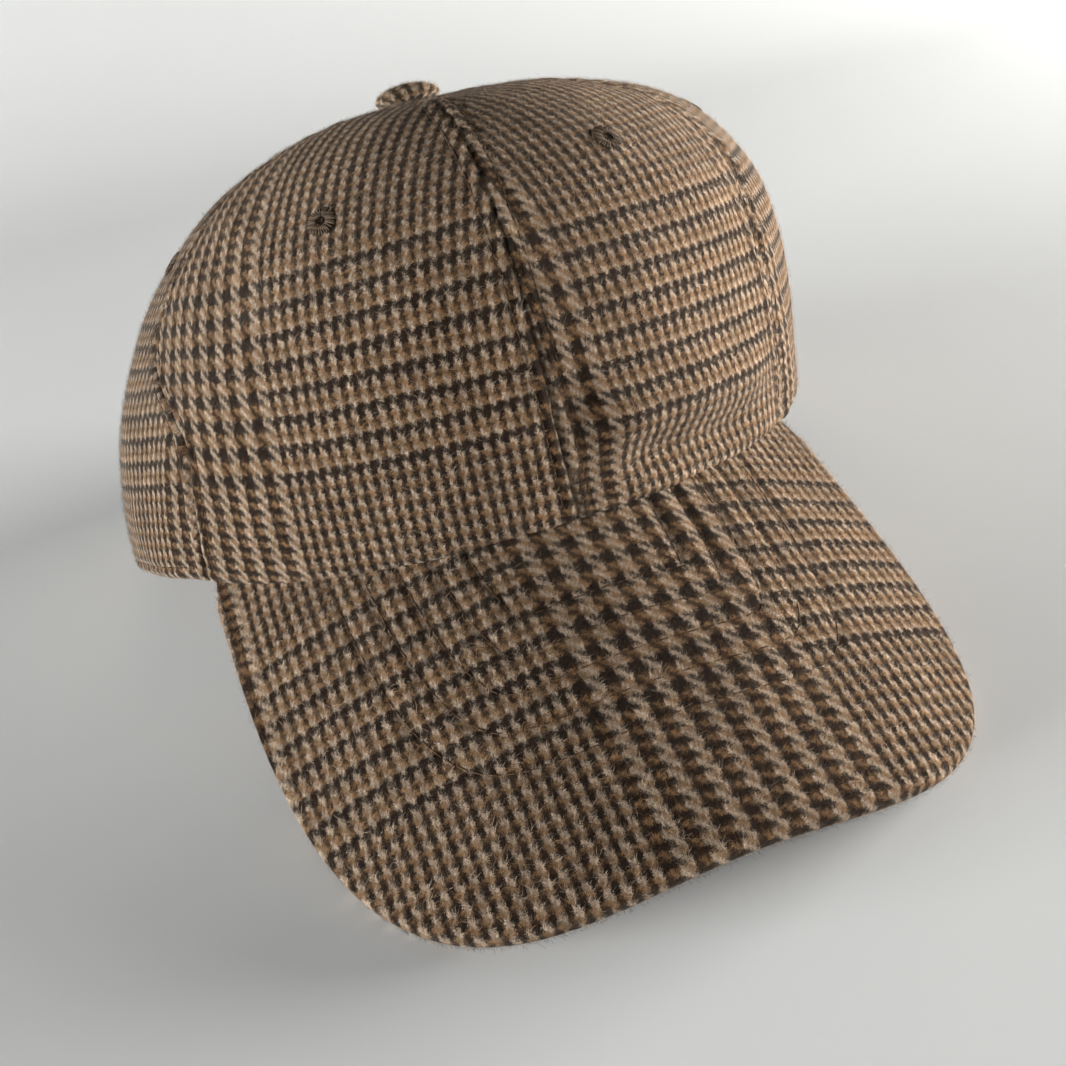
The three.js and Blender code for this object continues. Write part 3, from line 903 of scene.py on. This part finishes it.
def sewn(name, shape, places, along, outward, stretch, material):
    """One mesh with a copy of the stitch at every place, pointing along and facing outward, in metres."""
    corners, faces = shape
    sideways = unit(np.cross(outward, along))
    up = np.cross(along, sideways)
    copies = (
        corners[None, :, 0:1] * stretch[:, None, None] * along[:, None, :]
        + corners[None, :, 1:2] * sideways[:, None, :]
        + corners[None, :, 2:3] * up[:, None, :]
    )
    copies = copies * MM + places[:, None, :]
    count = len(places)
    all_faces = faces[None] + np.arange(count)[:, None, None] * len(corners)
    low, width = cells(count)
    spread_out = corners[:, :2] - corners[:, :2].min(0)
    spread_out = 0.1 + 0.8 * spread_out / spread_out.max(0)
    layout = low[:, None, :] + width * spread_out[None]
    maps = {"OFBake": layout.reshape(-1, 2)}
    return joined_mesh(name, copies.reshape(-1, 3), all_faces.reshape(-1, 3), maps, material)


# %% Eyelets
EYELET_RISE = 0.56
EYELET_RADIUS = 3.3
EYELET_HOLE_RADIUS = 1.0
EYELET_PUNCH_RADIUS = 1.5
EYELET_STITCHES = 30
EYELET_STITCH_WIDTH = 0.62
EYELET_STITCH_LIFT = 0.28
EYELET_STITCH_DIP = 0.12
EYELET_SIDES = 24
PUNCH_DEPTH = 6 * CLOTH


def punch(piece, centre, outward):
    deselect()
    radius = EYELET_PUNCH_RADIUS * MM
    bpy.ops.mesh.primitive_cylinder_add(vertices=EYELET_SIDES, radius=radius, depth=PUNCH_DEPTH * MM)
    cutter = bpy.context.object
    cutter.location = Vector(centre)
    cutter.rotation_mode = "QUATERNION"
    cutter.rotation_quaternion = Vector(outward).to_track_quat("Z", "Y")
    bpy.context.view_layer.update()
    apply_modifier(piece, "BOOLEAN", object=cutter, operation="DIFFERENCE", solver="MANIFOLD")
    bpy.data.objects.remove(cutter)


def eyelet_piece(panel):
    rise = np.array(EYELET_RISE)
    start, end = (seam_angle(seam, rise) for seam in PANELS[panel])
    across = (measures[panel].middle - start) / (end - start)
    centre = settle(measures[panel].face(across, rise))
    outward = unit(turned_to_rest(panel_normal(panel, across, rise)))
    punch(panel_pieces[panel], centre, outward)
    right = unit(np.cross((0, 0, 1.0), outward))
    up = np.cross(outward, right)
    turn = np.linspace(0, 2 * math.pi, EYELET_STITCHES, endpoint=False)
    turn = turn + rng.normal(0, 0.03, EYELET_STITCHES)
    ray = np.cos(turn)[:, None] * right + np.sin(turn)[:, None] * up
    reach = (EYELET_HOLE_RADIUS + EYELET_RADIUS) / 2
    slope = unit(ray - EYELET_STITCH_DIP * outward)
    places = centre + (ray * reach + outward * EYELET_STITCH_LIFT) * MM
    shape = modelled_stitch(EYELET_RADIUS - EYELET_HOLE_RADIUS, EYELET_STITCH_WIDTH, 8, 8)
    stretch = 1 + rng.normal(0, 0.05, EYELET_STITCHES)
    facing = np.tile(outward, (EYELET_STITCHES, 1))
    name = panel.replace("_panel", "") + "_eyelet_thread"
    return sewn(name, shape, places, slope, facing, stretch, eyelet_thread)


eyelet_pieces = {panel: eyelet_piece(panel) for panel in PANELS}
for panel, piece in panel_pieces.items():
    shade_smooth(piece)
print("eyelets sewn:", len(eyelet_pieces))

# %% [markdown]
# The peak is a board with cloth over both faces. Its outer face is a bent plate, and a plate that bends
# only one way can be laid flat without stretching: U is the length across the bend, V the length down the
# slope. One grid is wrapped right round a section: out along the top, round the edge and back underneath,
# so that the check runs on over the edge as it does on the real one. Rows of stitches hold cloth and
# board together, side by side with the outer edge, and press furrows into the face.

# %% Outline of the peak
PEAK_REACH = 145.6
PEAK_SQUARENESS = 3.24
PEAK_FLARE_LEFT = 0.045
PEAK_FLARE_RIGHT = -0.02
PEAK_THICKNESS = 4.6
PEAK_END = 0.985
PEAK_COLUMNS = 190
PEAK_STEP = 0.75
PEAK_UNDER_STEP = 2.5
OUTLINE_SAMPLES = 4001
OUTLINE_POINTS = 900
AT_ONCE = 4000
EDGE_TURNS = 9


def peak_outline(share):
    corner = np.where(share > 0, LEFT_CORNER, RIGHT_CORNER)
    end_x, end_f = rim_plan(np.sign(share) * corner)
    turn = share * math.pi / 2
    power = 2 / PEAK_SQUARENESS
    forward = (PEAK_REACH - end_f) * np.cos(turn) ** power
    flare = np.where(share > 0, PEAK_FLARE_LEFT, PEAK_FLARE_RIGHT)
    half_width = np.abs(end_x) + flare * forward
    sideways = np.sign(turn) * np.abs(np.sin(turn)) ** power
    return np.stack([half_width * sideways, end_f + forward], axis=-1)


def peak_root(share):
    x, f = rim_plan(share * np.where(share > 0, LEFT_CORNER, RIGHT_CORNER))
    inward = 1 - CLOTH / np.hypot(x, f)
    return np.stack([x * inward, f * inward], axis=-1)


def evenly(curve, count):
    """Points at equal steps along a curve given by many points."""
    run = lengths(curve)
    wanted = np.linspace(0, run[-1], count)
    return np.stack([np.interp(wanted, run, curve[:, k]) for k in range(2)], axis=-1)


shares = np.linspace(-PEAK_END, PEAK_END, OUTLINE_SAMPLES)
outline = evenly(peak_outline(shares), PEAK_COLUMNS)
root_line = evenly(peak_root(shares), PEAK_COLUMNS)
print("outer edge of the peak, mm:", round(float(lengths(outline)[-1]), 1))

# %% Face of the peak
STITCH_ROWS = 5
FIRST_ROW_FROM_EDGE = 23.5
ROW_SPACING = 6.5
FURROW = 0.55
FURROW_WIDTH = 0.95
PEAK_RIPPLE = 0.6
PEAK_RIPPLE_SCALE = 1.1
PEAK_RIPPLE_SHIFT = 300
FLAT_EDGE = 6
SIDE_REACH = 110
SIDE_SAMPLES = 2201


def edge_distance(places):
    """Distance in plan from each place to the outer edge of the peak."""
    fine = evenly(peak_outline(shares), OUTLINE_POINTS)
    flat = places.reshape(-1, 2)
    nearest = np.empty(len(flat))
    for start in range(0, len(flat), AT_ONCE):
        part = flat[start:start + AT_ONCE]
        nearest[start:start + AT_ONCE] = np.linalg.norm(part[:, None] - fine[None], axis=-1).min(1)
    return nearest.reshape(places.shape[:-1])


def peak_normal(x, f):
    step = 0.2
    slope_x = (peak_sag(x + step) - peak_sag(x - step)) / (2 * step)
    slope_f = np.full_like(x, -math.tan(PEAK_SLOPE))
    return unit(np.stack([-slope_x, -slope_f, np.ones_like(x)], axis=-1))


def peak_relief(places):
    from_edge = edge_distance(places)
    x, f = np.moveaxis(places * PEAK_RIPPLE_SCALE, -1, 0)
    relief = PEAK_RIPPLE * ripple(x + PEAK_RIPPLE_SHIFT, f)
    for row in range(STITCH_ROWS):
        relief = relief - FURROW * bell(from_edge - FIRST_ROW_FROM_EDGE - row * ROW_SPACING, FURROW_WIDTH)
    return relief * smooth(from_edge / FLAT_EDGE)


def peak_places(x, f):
    """The flat measure of the bent plate: across the bend and down the slope."""
    table = np.linspace(-SIDE_REACH, SIDE_REACH, SIDE_SAMPLES)
    steepness = np.gradient(peak_sag(table), table) * math.cos(PEAK_SLOPE)
    stretch = np.hypot(1, (steepness[1:] + steepness[:-1]) / 2)
    run = np.concatenate([[0], np.cumsum(stretch * np.diff(table))])
    u = np.interp(x, table, run) - np.interp(0, table, run)
    v = (f - RIM_FRONT) / math.cos(PEAK_SLOPE) - peak_sag(x) * math.sin(PEAK_SLOPE)
    return u, v


radius = PEAK_THICKNESS / 2
outward = outline - root_line
reach = np.linalg.norm(outward, axis=-1)
outward = outward / reach[:, None]
flat_reach = np.maximum(reach - radius, 0.5)
top_count = int(reach.max() / PEAK_STEP)
under_count = int(reach.max() / PEAK_UNDER_STEP)
top_share = np.linspace(0, 1, top_count)
under_share = np.linspace(1, 0, under_count)


def peak_plan(share):
    return root_line[:, None] + outward[:, None] * (flat_reach[:, None] * share[None])[..., None]


def on_plate(plan):
    """The place over each point of the plan, and its normal."""
    x, f = np.moveaxis(plan, -1, 0)
    return np.concatenate([plan, peak_top(x, f)[..., None]], axis=-1), peak_normal(x, f)


top_plan = peak_plan(top_share)
under_plan = peak_plan(under_share)
top_face, top_normal = on_plate(top_plan)
under_face, under_normal = on_plate(under_plan)
edge_up = top_normal[:, -1]
edge_out = np.concatenate([outward, np.zeros((PEAK_COLUMNS, 1))], axis=-1)
edge_out = unit(edge_out - edge_up * np.sum(edge_out * edge_up, axis=-1, keepdims=True))
edge_middle = top_face[:, -1] - edge_up * radius
edge_turn = np.linspace(0, math.pi, EDGE_TURNS + 2)[1:-1]
edge_face = (
    edge_middle[:, None]
    + edge_up[:, None] * (radius * np.cos(edge_turn))[None, :, None]
    + edge_out[:, None] * (radius * np.sin(edge_turn))[None, :, None]
)
top_u, top_v = peak_places(top_plan[..., 0], top_plan[..., 1])
top_face = top_face + top_normal * peak_relief(top_plan)[..., None]
under_face = under_face - under_normal * PEAK_THICKNESS
print("rows on the peak's face:", top_count)

# %% Peak
PEAK_BOLT_PLACE = (16.3, 38.6)
PEAK_STRETCH = 1.12
LAYOUT_MARGIN = 0.02


def peak_cloth_places(flat):
    """From the peak's flat measure to the bolt. The cloth is pulled tight down the slope."""
    return np.array(PEAK_BOLT_PLACE) + flat * np.array([1, -1 / PEAK_STRETCH])


def peak_piece():
    section = np.concatenate([top_face, edge_face, under_face], axis=1)
    under_u, under_v = peak_places(under_plan[..., 0], under_plan[..., 1])
    edge_u = np.repeat(top_u[:, -1:], EDGE_TURNS, axis=1)
    edge_v = top_v[:, -1:] + radius * edge_turn[None]
    turned_v = 2 * top_v[:, -1:] + radius * math.pi - under_v
    u = np.concatenate([top_u, edge_u, under_u], axis=1)
    v = np.concatenate([top_v, edge_v, turned_v], axis=1)
    flat = np.stack([u, v], axis=-1)
    run = lengths(section)
    run = run / np.maximum(run[:, -1:], 1e-6)
    across = np.linspace(0, 1, PEAK_COLUMNS)[:, None] * np.ones_like(run)
    layout = LAYOUT_MARGIN + (1 - 2 * LAYOUT_MARGIN) * np.stack([across, run], axis=-1)
    maps = {"cloth": peak_cloth_places(flat), "OFBake": layout}
    piece = draped_grid("peak_cloth", settle(section), maps)
    piece.data.materials.append(peak_wool)
    bpy.ops.object.mode_set(mode="EDIT")
    bpy.ops.mesh.select_all(action="DESELECT")
    bpy.ops.mesh.select_mode(type="EDGE")
    bpy.ops.mesh.select_non_manifold()
    bpy.ops.mesh.edge_face_add()
    bpy.ops.object.mode_set(mode="OBJECT")
    face_outward()
    shade_smooth(piece)
    return piece


peak = peak_piece()
print("faces of the peak:", len(peak.data.polygons))

# %% [markdown]
# The button on top is a metal shell covered with a disc of the same cloth, gathered underneath. A sphere's
# vertices are moved: it is pressed flat, its lower half is drawn in under the lip, and small pleats are
# pushed in round the edge, deeper towards the lip.

# %% Top button
BUTTON_RADIUS = 7.6
BUTTON_HEIGHT = 4.8
BUTTON_LIP = 1.6
BUTTON_SINK = 1.3
BUTTON_PLEATS = 13
BUTTON_PLEAT_DEPTH = 0.22
BUTTON_PLEAT_START = 0.6
BUTTON_UNDERCUT = 0.25
BUTTON_EASE = 1.1
BUTTON_BOLT_PLACE = (LARGE_WIDTH + 27, 70.0)
BUTTON_SEAT = np.array([BUTTON_LEFT, BUTTON_FORWARD, CROWN_HEIGHT])


def button_spread(up):
    """How far from the middle of its disc of cloth a place on the button lies."""
    return np.arccos(up) / (math.pi / 2) * BUTTON_RADIUS * BUTTON_EASE


def button_piece():
    deselect()
    bpy.ops.mesh.primitive_uv_sphere_add(segments=72, ring_count=36, radius=1)
    piece = bpy.context.object
    piece.name = "top_button_cloth"
    mesh = piece.data
    place = np.array([v.co for v in mesh.vertices])
    turn = np.arctan2(place[:, 1], place[:, 0])
    out = np.hypot(place[:, 0], place[:, 1])
    over = place[:, 2] > 0
    bulge = np.where(over, BUTTON_HEIGHT - BUTTON_LIP, BUTTON_LIP + BUTTON_SINK)
    dome = BUTTON_LIP + bulge * place[:, 2]
    tuck = np.where(over, 1.0, 1 - BUTTON_UNDERCUT * place[:, 2] ** 2)
    pleated = smooth((out - BUTTON_PLEAT_START) / (1 - BUTTON_PLEAT_START))
    pleat = BUTTON_PLEAT_DEPTH * np.cos(BUTTON_PLEATS * turn + np.sin(3 * turn)) * pleated
    around = out * BUTTON_RADIUS * tuck - pleat
    local = np.stack([around * np.cos(turn), around * np.sin(turn), dome], axis=-1)
    mesh.vertices.foreach_set("co", settle(local + BUTTON_SEAT).ravel())
    spread_out = button_spread(np.clip(place[:, 2], -1, 1))
    flat = np.stack([np.cos(turn) * spread_out, np.sin(turn) * spread_out], axis=-1)
    put_maps(mesh, {"cloth": flat + np.array(BUTTON_BOLT_PLACE)})
    face_outward()
    mesh.materials.append(check_wool)
    shade_smooth(piece)
    return piece


button = button_piece()
print("button top, mm:", round(max(v.co.z for v in button.data.vertices) / MM, 1))

# %% [markdown]
# Stitching. A lockstitch shows as a row of short grains, each sunk a little at its ends, so a row is the
# same modelled stitch set end to end along a line on the surface. The lines are known: a fixed distance
# beside each seam and above the rim on the crown, and a fixed distance inside the outer edge on the peak.

# %% Stitch rows
STITCH_LENGTH = 2.5
STITCH_PITCH = 3.0
STITCH_WIDTH = 0.3
STITCH_LIFT = 0.1
FIRST_STITCHED_ROW = 8
LAST_STITCHED_SHARE = 0.985
WIDEST_INSET = 0.42
HEM_ENDS = (0.035, 0.965)
SEAM_SAMPLES = 240
HEM_SAMPLES = 160
stitch_shape = modelled_stitch(STITCH_LENGTH, STITCH_WIDTH, 6, 6)


def stitches_along(line, normals):
    """Places, directions and outward normals of stitches at an even pitch along a line in millimetres."""
    run = lengths(line)
    count = int(run[-1] / STITCH_PITCH)
    middles = (np.arange(count) + 0.5) * run[-1] / max(count, 1)

    def sample(table, where):
        return np.stack([np.interp(where, run, table[:, k]) for k in range(3)], axis=-1)

    along = unit(sample(line, middles + 0.5) - sample(line, middles - 0.5))
    return sample(line, middles), along, unit(sample(normals, middles))


def stitched(name, lines, material):
    found = [stitches_along(line, normals) for line, normals in lines]
    places = settle(np.concatenate([f[0] for f in found]))
    along = unit(turned_to_rest(np.concatenate([f[1] for f in found])))
    facing = unit(turned_to_rest(np.concatenate([f[2] for f in found])))
    stretch = 1 + rng.normal(0, 0.06, len(places))
    return sewn(name, stitch_shape, places, along, facing, stretch, material)


def line_on_panel(panel, across, rise):
    normal = panel_normal(panel, across, rise)
    return measures[panel].face(across, rise) + normal * STITCH_LIFT, normal


def crown_lines():
    lines = []
    for panel, measure in measures.items():
        rises = np.linspace(ROWS[FIRST_STITCHED_ROW], TOP_RISE * LAST_STITCHED_SHARE, SEAM_SAMPLES)
        inset = STITCH_FROM_SEAM / measure.at(measure.width, rises)
        keep = inset < WIDEST_INSET
        for across in (inset[keep], 1 - inset[keep]):
            lines.append(line_on_panel(panel, across, rises[keep]))
        if panel in OVER_PEAK:
            continue
        rim_rise = float(np.interp(STITCH_FROM_RIM, measure.height, RISE_TABLE))
        across = np.linspace(*HEM_ENDS, HEM_SAMPLES)
        lines.append(line_on_panel(panel, across, np.full_like(across, rim_rise)))
    return lines


def peak_lines():
    lines = []
    fine = evenly(peak_outline(shares), OUTLINE_POINTS)
    along = unit(np.gradient(fine, axis=0))
    inward = np.stack([along[:, 1], -along[:, 0]], axis=-1)
    for row in range(STITCH_ROWS):
        wanted = FIRST_ROW_FROM_EDGE + row * ROW_SPACING
        path = fine + inward * wanted
        clear = edge_distance(path) > wanted - 0.1
        angle = np.degrees(np.arctan2(path[:, 0], path[:, 1]))
        rim_x, rim_f = rim_plan(angle)
        outside = np.hypot(path[:, 0], path[:, 1]) > np.hypot(rim_x, rim_f) + 1.0
        path = path[clear & outside]
        place, normal = on_plate(path)
        lines.append((place + normal * (peak_relief(path) + STITCH_LIFT)[:, None], normal))
    return lines


crown_stitching = stitched("crown_stitching", crown_lines(), sewing_thread)
peak_stitching = stitched("peak_stitching", peak_lines(), sewing_thread)
print("faces of the stitching:", len(crown_stitching.data.polygons), len(peak_stitching.data.polygons))

# %% [markdown]
# Brushed wool has a nap: loose fibres that lie over the weave, blur its edges and make the outline soft
# against the light. A hair system would show them in the render but not in the meshes, so each fibre is
# two thin triangles, bent in the middle. It takes the colour of the thread that it grows from, because
# all its corners have its root's place on the cloth map.

# %% Nap
FIBRE_LENGTH = 1.15
FIBRE_WIDTH = 0.045
FIBRE_SLANT = math.radians(-55)
FIBRE_TURN = 0.75
FIBRE_STAND = 0.25
STAND_SPREAD = 0.16
PLACE_BLUR = 0.2
NAP_FRONT = 52000
NAP_OTHER = 34000
NAP_PEAK = 80000
NAP_PEAK_EDGE = 9000
NAP_BUTTON = 2500


def nap_piece(name, roots, normals, u_ways, places, material):
    """A fibre at every root. U ways point along the cloth's weft, places are on the cloth map."""
    count = len(roots)
    turn = rng.normal(FIBRE_SLANT, FIBRE_TURN, count)
    v_ways = np.cross(normals, u_ways)
    way = np.cos(turn)[:, None] * u_ways + np.sin(turn)[:, None] * v_ways
    side = np.cross(normals, way) * (FIBRE_WIDTH / 2)
    length = FIBRE_LENGTH * rng.lognormal(0, 0.3, count)
    stand = np.abs(rng.normal(FIBRE_STAND, STAND_SPREAD, count)) * length
    middle = roots + way * (0.5 * length)[:, None] + normals * (0.75 * stand)[:, None]
    bend = rng.normal(0, 0.18, count) * length
    tip = roots + way * length[:, None] + normals * stand[:, None]
    tip = tip + np.cross(normals, way) * bend[:, None]
    kites = np.stack([roots, middle - side, middle + side, tip], axis=1)
    faces = np.array([[0, 1, 2], [1, 3, 2]])[None] + 4 * np.arange(count)[:, None, None]
    low, width = cells(count)
    kite = np.array([[0.5, 0.05], [0.95, 0.5], [0.05, 0.5], [0.5, 0.95]])
    blurred = places + rng.normal(0, PLACE_BLUR, places.shape)
    maps = {
        "cloth": np.repeat(blurred, 4, axis=0),
        "OFBake": (low[:, None] + width * kite[None]).reshape(-1, 2),
    }
    return joined_mesh(name, settle(kites).reshape(-1, 3), faces.reshape(-1, 3), maps, material)


def panel_nap(panel, count):
    measure = measures[panel]
    table = measure.width * np.gradient(measure.height)
    share = np.cumsum(table) / np.sum(table)
    rise = np.interp(rng.random(count), share, RISE_TABLE)
    rise = np.minimum(rise, TOP_RISE)
    across = rng.random(count)
    roots = measure.face(across, rise)
    normals = panel_normal(panel, across, rise)
    u_ways = unit(across_step(panel, across, rise))
    return nap_piece(panel + "_nap", roots, normals, u_ways, cloth_places(panel, across, rise), wool_nap)


def peak_edge_roots(count):
    """Roots, normals, weft ways and cloth places of fibres round the peak's outer edge."""
    column = rng.integers(0, PEAK_COLUMNS, count)
    turn = rng.random(count) * math.pi * 0.75
    normals = edge_up[column] * np.cos(turn)[:, None] + edge_out[column] * np.sin(turn)[:, None]
    roots = edge_middle[column] + normals * radius
    along = np.gradient(edge_middle, axis=0)[column]
    jitter = rng.random(count) - 0.5
    roots = roots + along * jitter[:, None]
    places = np.stack([top_u[column, -1] + jitter, top_v[column, -1] + radius * turn], axis=-1)
    return roots, normals, unit(along), places


def peak_nap(count, edge_count):
    weight = (flat_reach / np.sum(flat_reach)) * np.gradient(lengths(outline))
    column = np.interp(rng.random(count), np.cumsum(weight) / np.sum(weight), np.arange(PEAK_COLUMNS))
    share = rng.random(count) ** 0.85
    order = np.arange(PEAK_COLUMNS)

    def on_column(table):
        return np.stack([np.interp(column, order, table[:, k]) for k in range(table.shape[1])], axis=-1)

    plan = on_column(root_line) + on_column(outward * flat_reach[:, None]) * share[:, None]
    place, normals = on_plate(plan)
    roots = place + normals * peak_relief(plan)[:, None]
    u_ways = unit(np.cross(np.cross(normals, np.array([1.0, 0, 0])), normals))
    u, v = peak_places(plan[:, 0], plan[:, 1])
    face = (roots, normals, u_ways, np.stack([u, v], axis=-1))
    both = [np.concatenate(pair) for pair in zip(face, peak_edge_roots(edge_count))]
    both[3] = peak_cloth_places(both[3])
    return nap_piece("peak_nap", *both, wool_nap)


def button_nap(count):
    turn = rng.random(count) * 2 * math.pi
    up = rng.random(count)
    out = np.sqrt(1 - up * up)
    round_it = np.stack([np.cos(turn), np.sin(turn)], axis=-1)
    dome = BUTTON_HEIGHT - BUTTON_LIP
    height = (BUTTON_LIP + dome * up)[:, None]
    roots = np.concatenate([round_it * (out * BUTTON_RADIUS)[:, None], height], axis=-1) + BUTTON_SEAT
    steep = (up / dome)[:, None]
    normals = unit(np.concatenate([round_it * (out / BUTTON_RADIUS)[:, None], steep], axis=-1))
    u_ways = unit(np.cross(np.cross(normals, np.array([1.0, 0, 0.02])), normals))
    flat = round_it * button_spread(up)[:, None] + np.array(BUTTON_BOLT_PLACE)
    return nap_piece("button_nap", roots, normals, u_ways, flat, wool_nap)


naps = {}
for panel in PANELS:
    naps[panel] = panel_nap(panel, NAP_FRONT if "front" in panel else NAP_OTHER)
peak_nap_piece = peak_nap(NAP_PEAK, NAP_PEAK_EDGE)
button_nap_piece = button_nap(NAP_BUTTON)
print("fibres:", sum(len(n.data.polygons) for n in naps.values()) // 2, "+", NAP_PEAK + NAP_PEAK_EDGE)

# %% [markdown]
# Everything rides on the cap's one body. Each cloth piece stands for its solid, so the solid is hidden.

# %% Tie the pieces to the frame
def tie(piece, slot, *nodes):
    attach(piece, "root")
    if nodes:
        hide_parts(*nodes)


for panel in PANELS:
    tie(panel_pieces[panel], "check_wool", panel)
    tie(eyelet_pieces[panel], "eyelet_thread", "eyelet_" + panel.replace("_panel", ""))
    tie(naps[panel], "check_wool")
tie(peak, "peak_wool", "peak")
tie(peak_nap_piece, "peak_wool")
tie(peak_stitching, "peak_wool")
tie(button, "check_wool", "top_button")
tie(button_nap_piece, "check_wool")
tie(crown_stitching, "check_wool")

# %% [markdown]
# A pale sweep of paper makes the floor and the background in one: a plane whose back edge is drawn up and
# whose crease is rounded, so that no horizon shows. Two wide, low lights stand at the sides, the stronger
# one on the right. A weak one in front and a dim grey surround fill the rest. Wide lights keep the
# shadows soft.

# %% Floor, light and surround
SWEEP_HALF_WIDTH = 6.0
SWEEP_BACK = 2.2
SWEEP_FRONT = -4.0
SWEEP_HEIGHT = 5.0
SWEEP_CURVE = 1.6
SWEEP_DROP = 0.0002
PAPER_DARK = (0.74, 0.75, 0.74, 1)
PAPER_LIGHT = (0.79, 0.8, 0.79, 1)
LIT_PLACE = Vector((0, 0, 0.05))
SURROUND_STRENGTH = 0.022


def make_sweep():
    deselect()
    bpy.ops.mesh.primitive_plane_add(size=2)
    sweep = bpy.context.object
    sweep.name = "paper_sweep"
    mesh = sweep.data
    for vertex in mesh.vertices:
        back = vertex.co.y > 0
        vertex.co = (vertex.co.x * SWEEP_HALF_WIDTH, SWEEP_BACK if back else SWEEP_FRONT, -SWEEP_DROP)
    bpy.ops.object.mode_set(mode="EDIT")
    bpy.ops.mesh.select_mode(type="EDGE")
    bpy.ops.mesh.select_all(action="DESELECT")
    bpy.ops.object.mode_set(mode="OBJECT")
    for edge in mesh.edges:
        edge.select = all(mesh.vertices[i].co.y > 0 for i in edge.vertices)
    bpy.ops.object.mode_set(mode="EDIT")
    bpy.ops.mesh.extrude_region_move(TRANSFORM_OT_translate={"value": (0, 0, SWEEP_HEIGHT)})
    bpy.ops.mesh.select_all(action="DESELECT")
    bpy.ops.object.mode_set(mode="OBJECT")
    for edge in mesh.edges:
        ends = [mesh.vertices[i].co for i in edge.vertices]
        edge.select = all(end.y > 0 and end.z < SWEEP_HEIGHT / 2 for end in ends)
    bpy.ops.object.mode_set(mode="EDIT")
    bpy.ops.mesh.bevel(offset=SWEEP_CURVE, segments=24)
    bpy.ops.object.mode_set(mode="OBJECT")
    face_outward()
    shade_smooth(sweep)
    paper = bpy.data.materials.new("pale_paper")
    paper.use_nodes = True
    tree = paper.node_tree
    shader = tree.nodes["Principled BSDF"]
    place = add_node(tree, "ShaderNodeTexCoord")
    grain = noise(tree, place.outputs["Object"], 3.0, 4.0).outputs[0]
    feed(tree, shader.inputs["Base Color"], mix_colors(tree, grain, PAPER_DARK, PAPER_LIGHT))
    shader.inputs["Roughness"].default_value = 0.9
    mesh.materials.append(paper)
    sweep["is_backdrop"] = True
    return sweep


def soft_light(name, place, width, height, power, color):
    deselect()
    bpy.ops.object.light_add(type="AREA", location=place)
    lamp = bpy.context.object
    lamp.name = name
    lamp.data.shape = "RECTANGLE"
    lamp.data.size = width
    lamp.data.size_y = height
    lamp.data.energy = power
    lamp.data.color = color
    lamp.rotation_mode = "QUATERNION"
    lamp.rotation_quaternion = (LIT_PLACE - Vector(place)).to_track_quat("-Z", "Y")
    return lamp


make_sweep()
soft_light("window_right", (1.58, -0.12, 0.1), 1.2, 0.5, 156, (1.0, 0.98, 0.96))
soft_light("window_left", (-1.62, -0.12, 0.1), 1.2, 0.5, 100, (0.98, 0.99, 1.0))
soft_light("window_front", (0.3, -1.7, 0.1), 0.8, 0.8, 6, (1.0, 0.99, 0.98))
world = bpy.data.worlds.new("grey_surround")
bpy.context.scene.world = world
world.use_nodes = True
surround = world.node_tree.nodes["Background"]
surround.inputs["Color"].default_value = (0.9, 0.92, 0.92, 1)
surround.inputs["Strength"].default_value = SURROUND_STRENGTH
bpy.context.scene.view_settings.view_transform = "Standard"

# %% [markdown]
# Last, the sizes. Cloth may stand a little proud of the solids, and the two boxes show by how much.

# %% Sizes and finish
visual_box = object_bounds()
boxes = {"cad": [list(corner) for corner in cad_box], "visual": [list(corner) for corner in visual_box]}
for label, corners in boxes.items():
    print(label, [[round(value / MM, 1) for value in corner] for corner in corners])
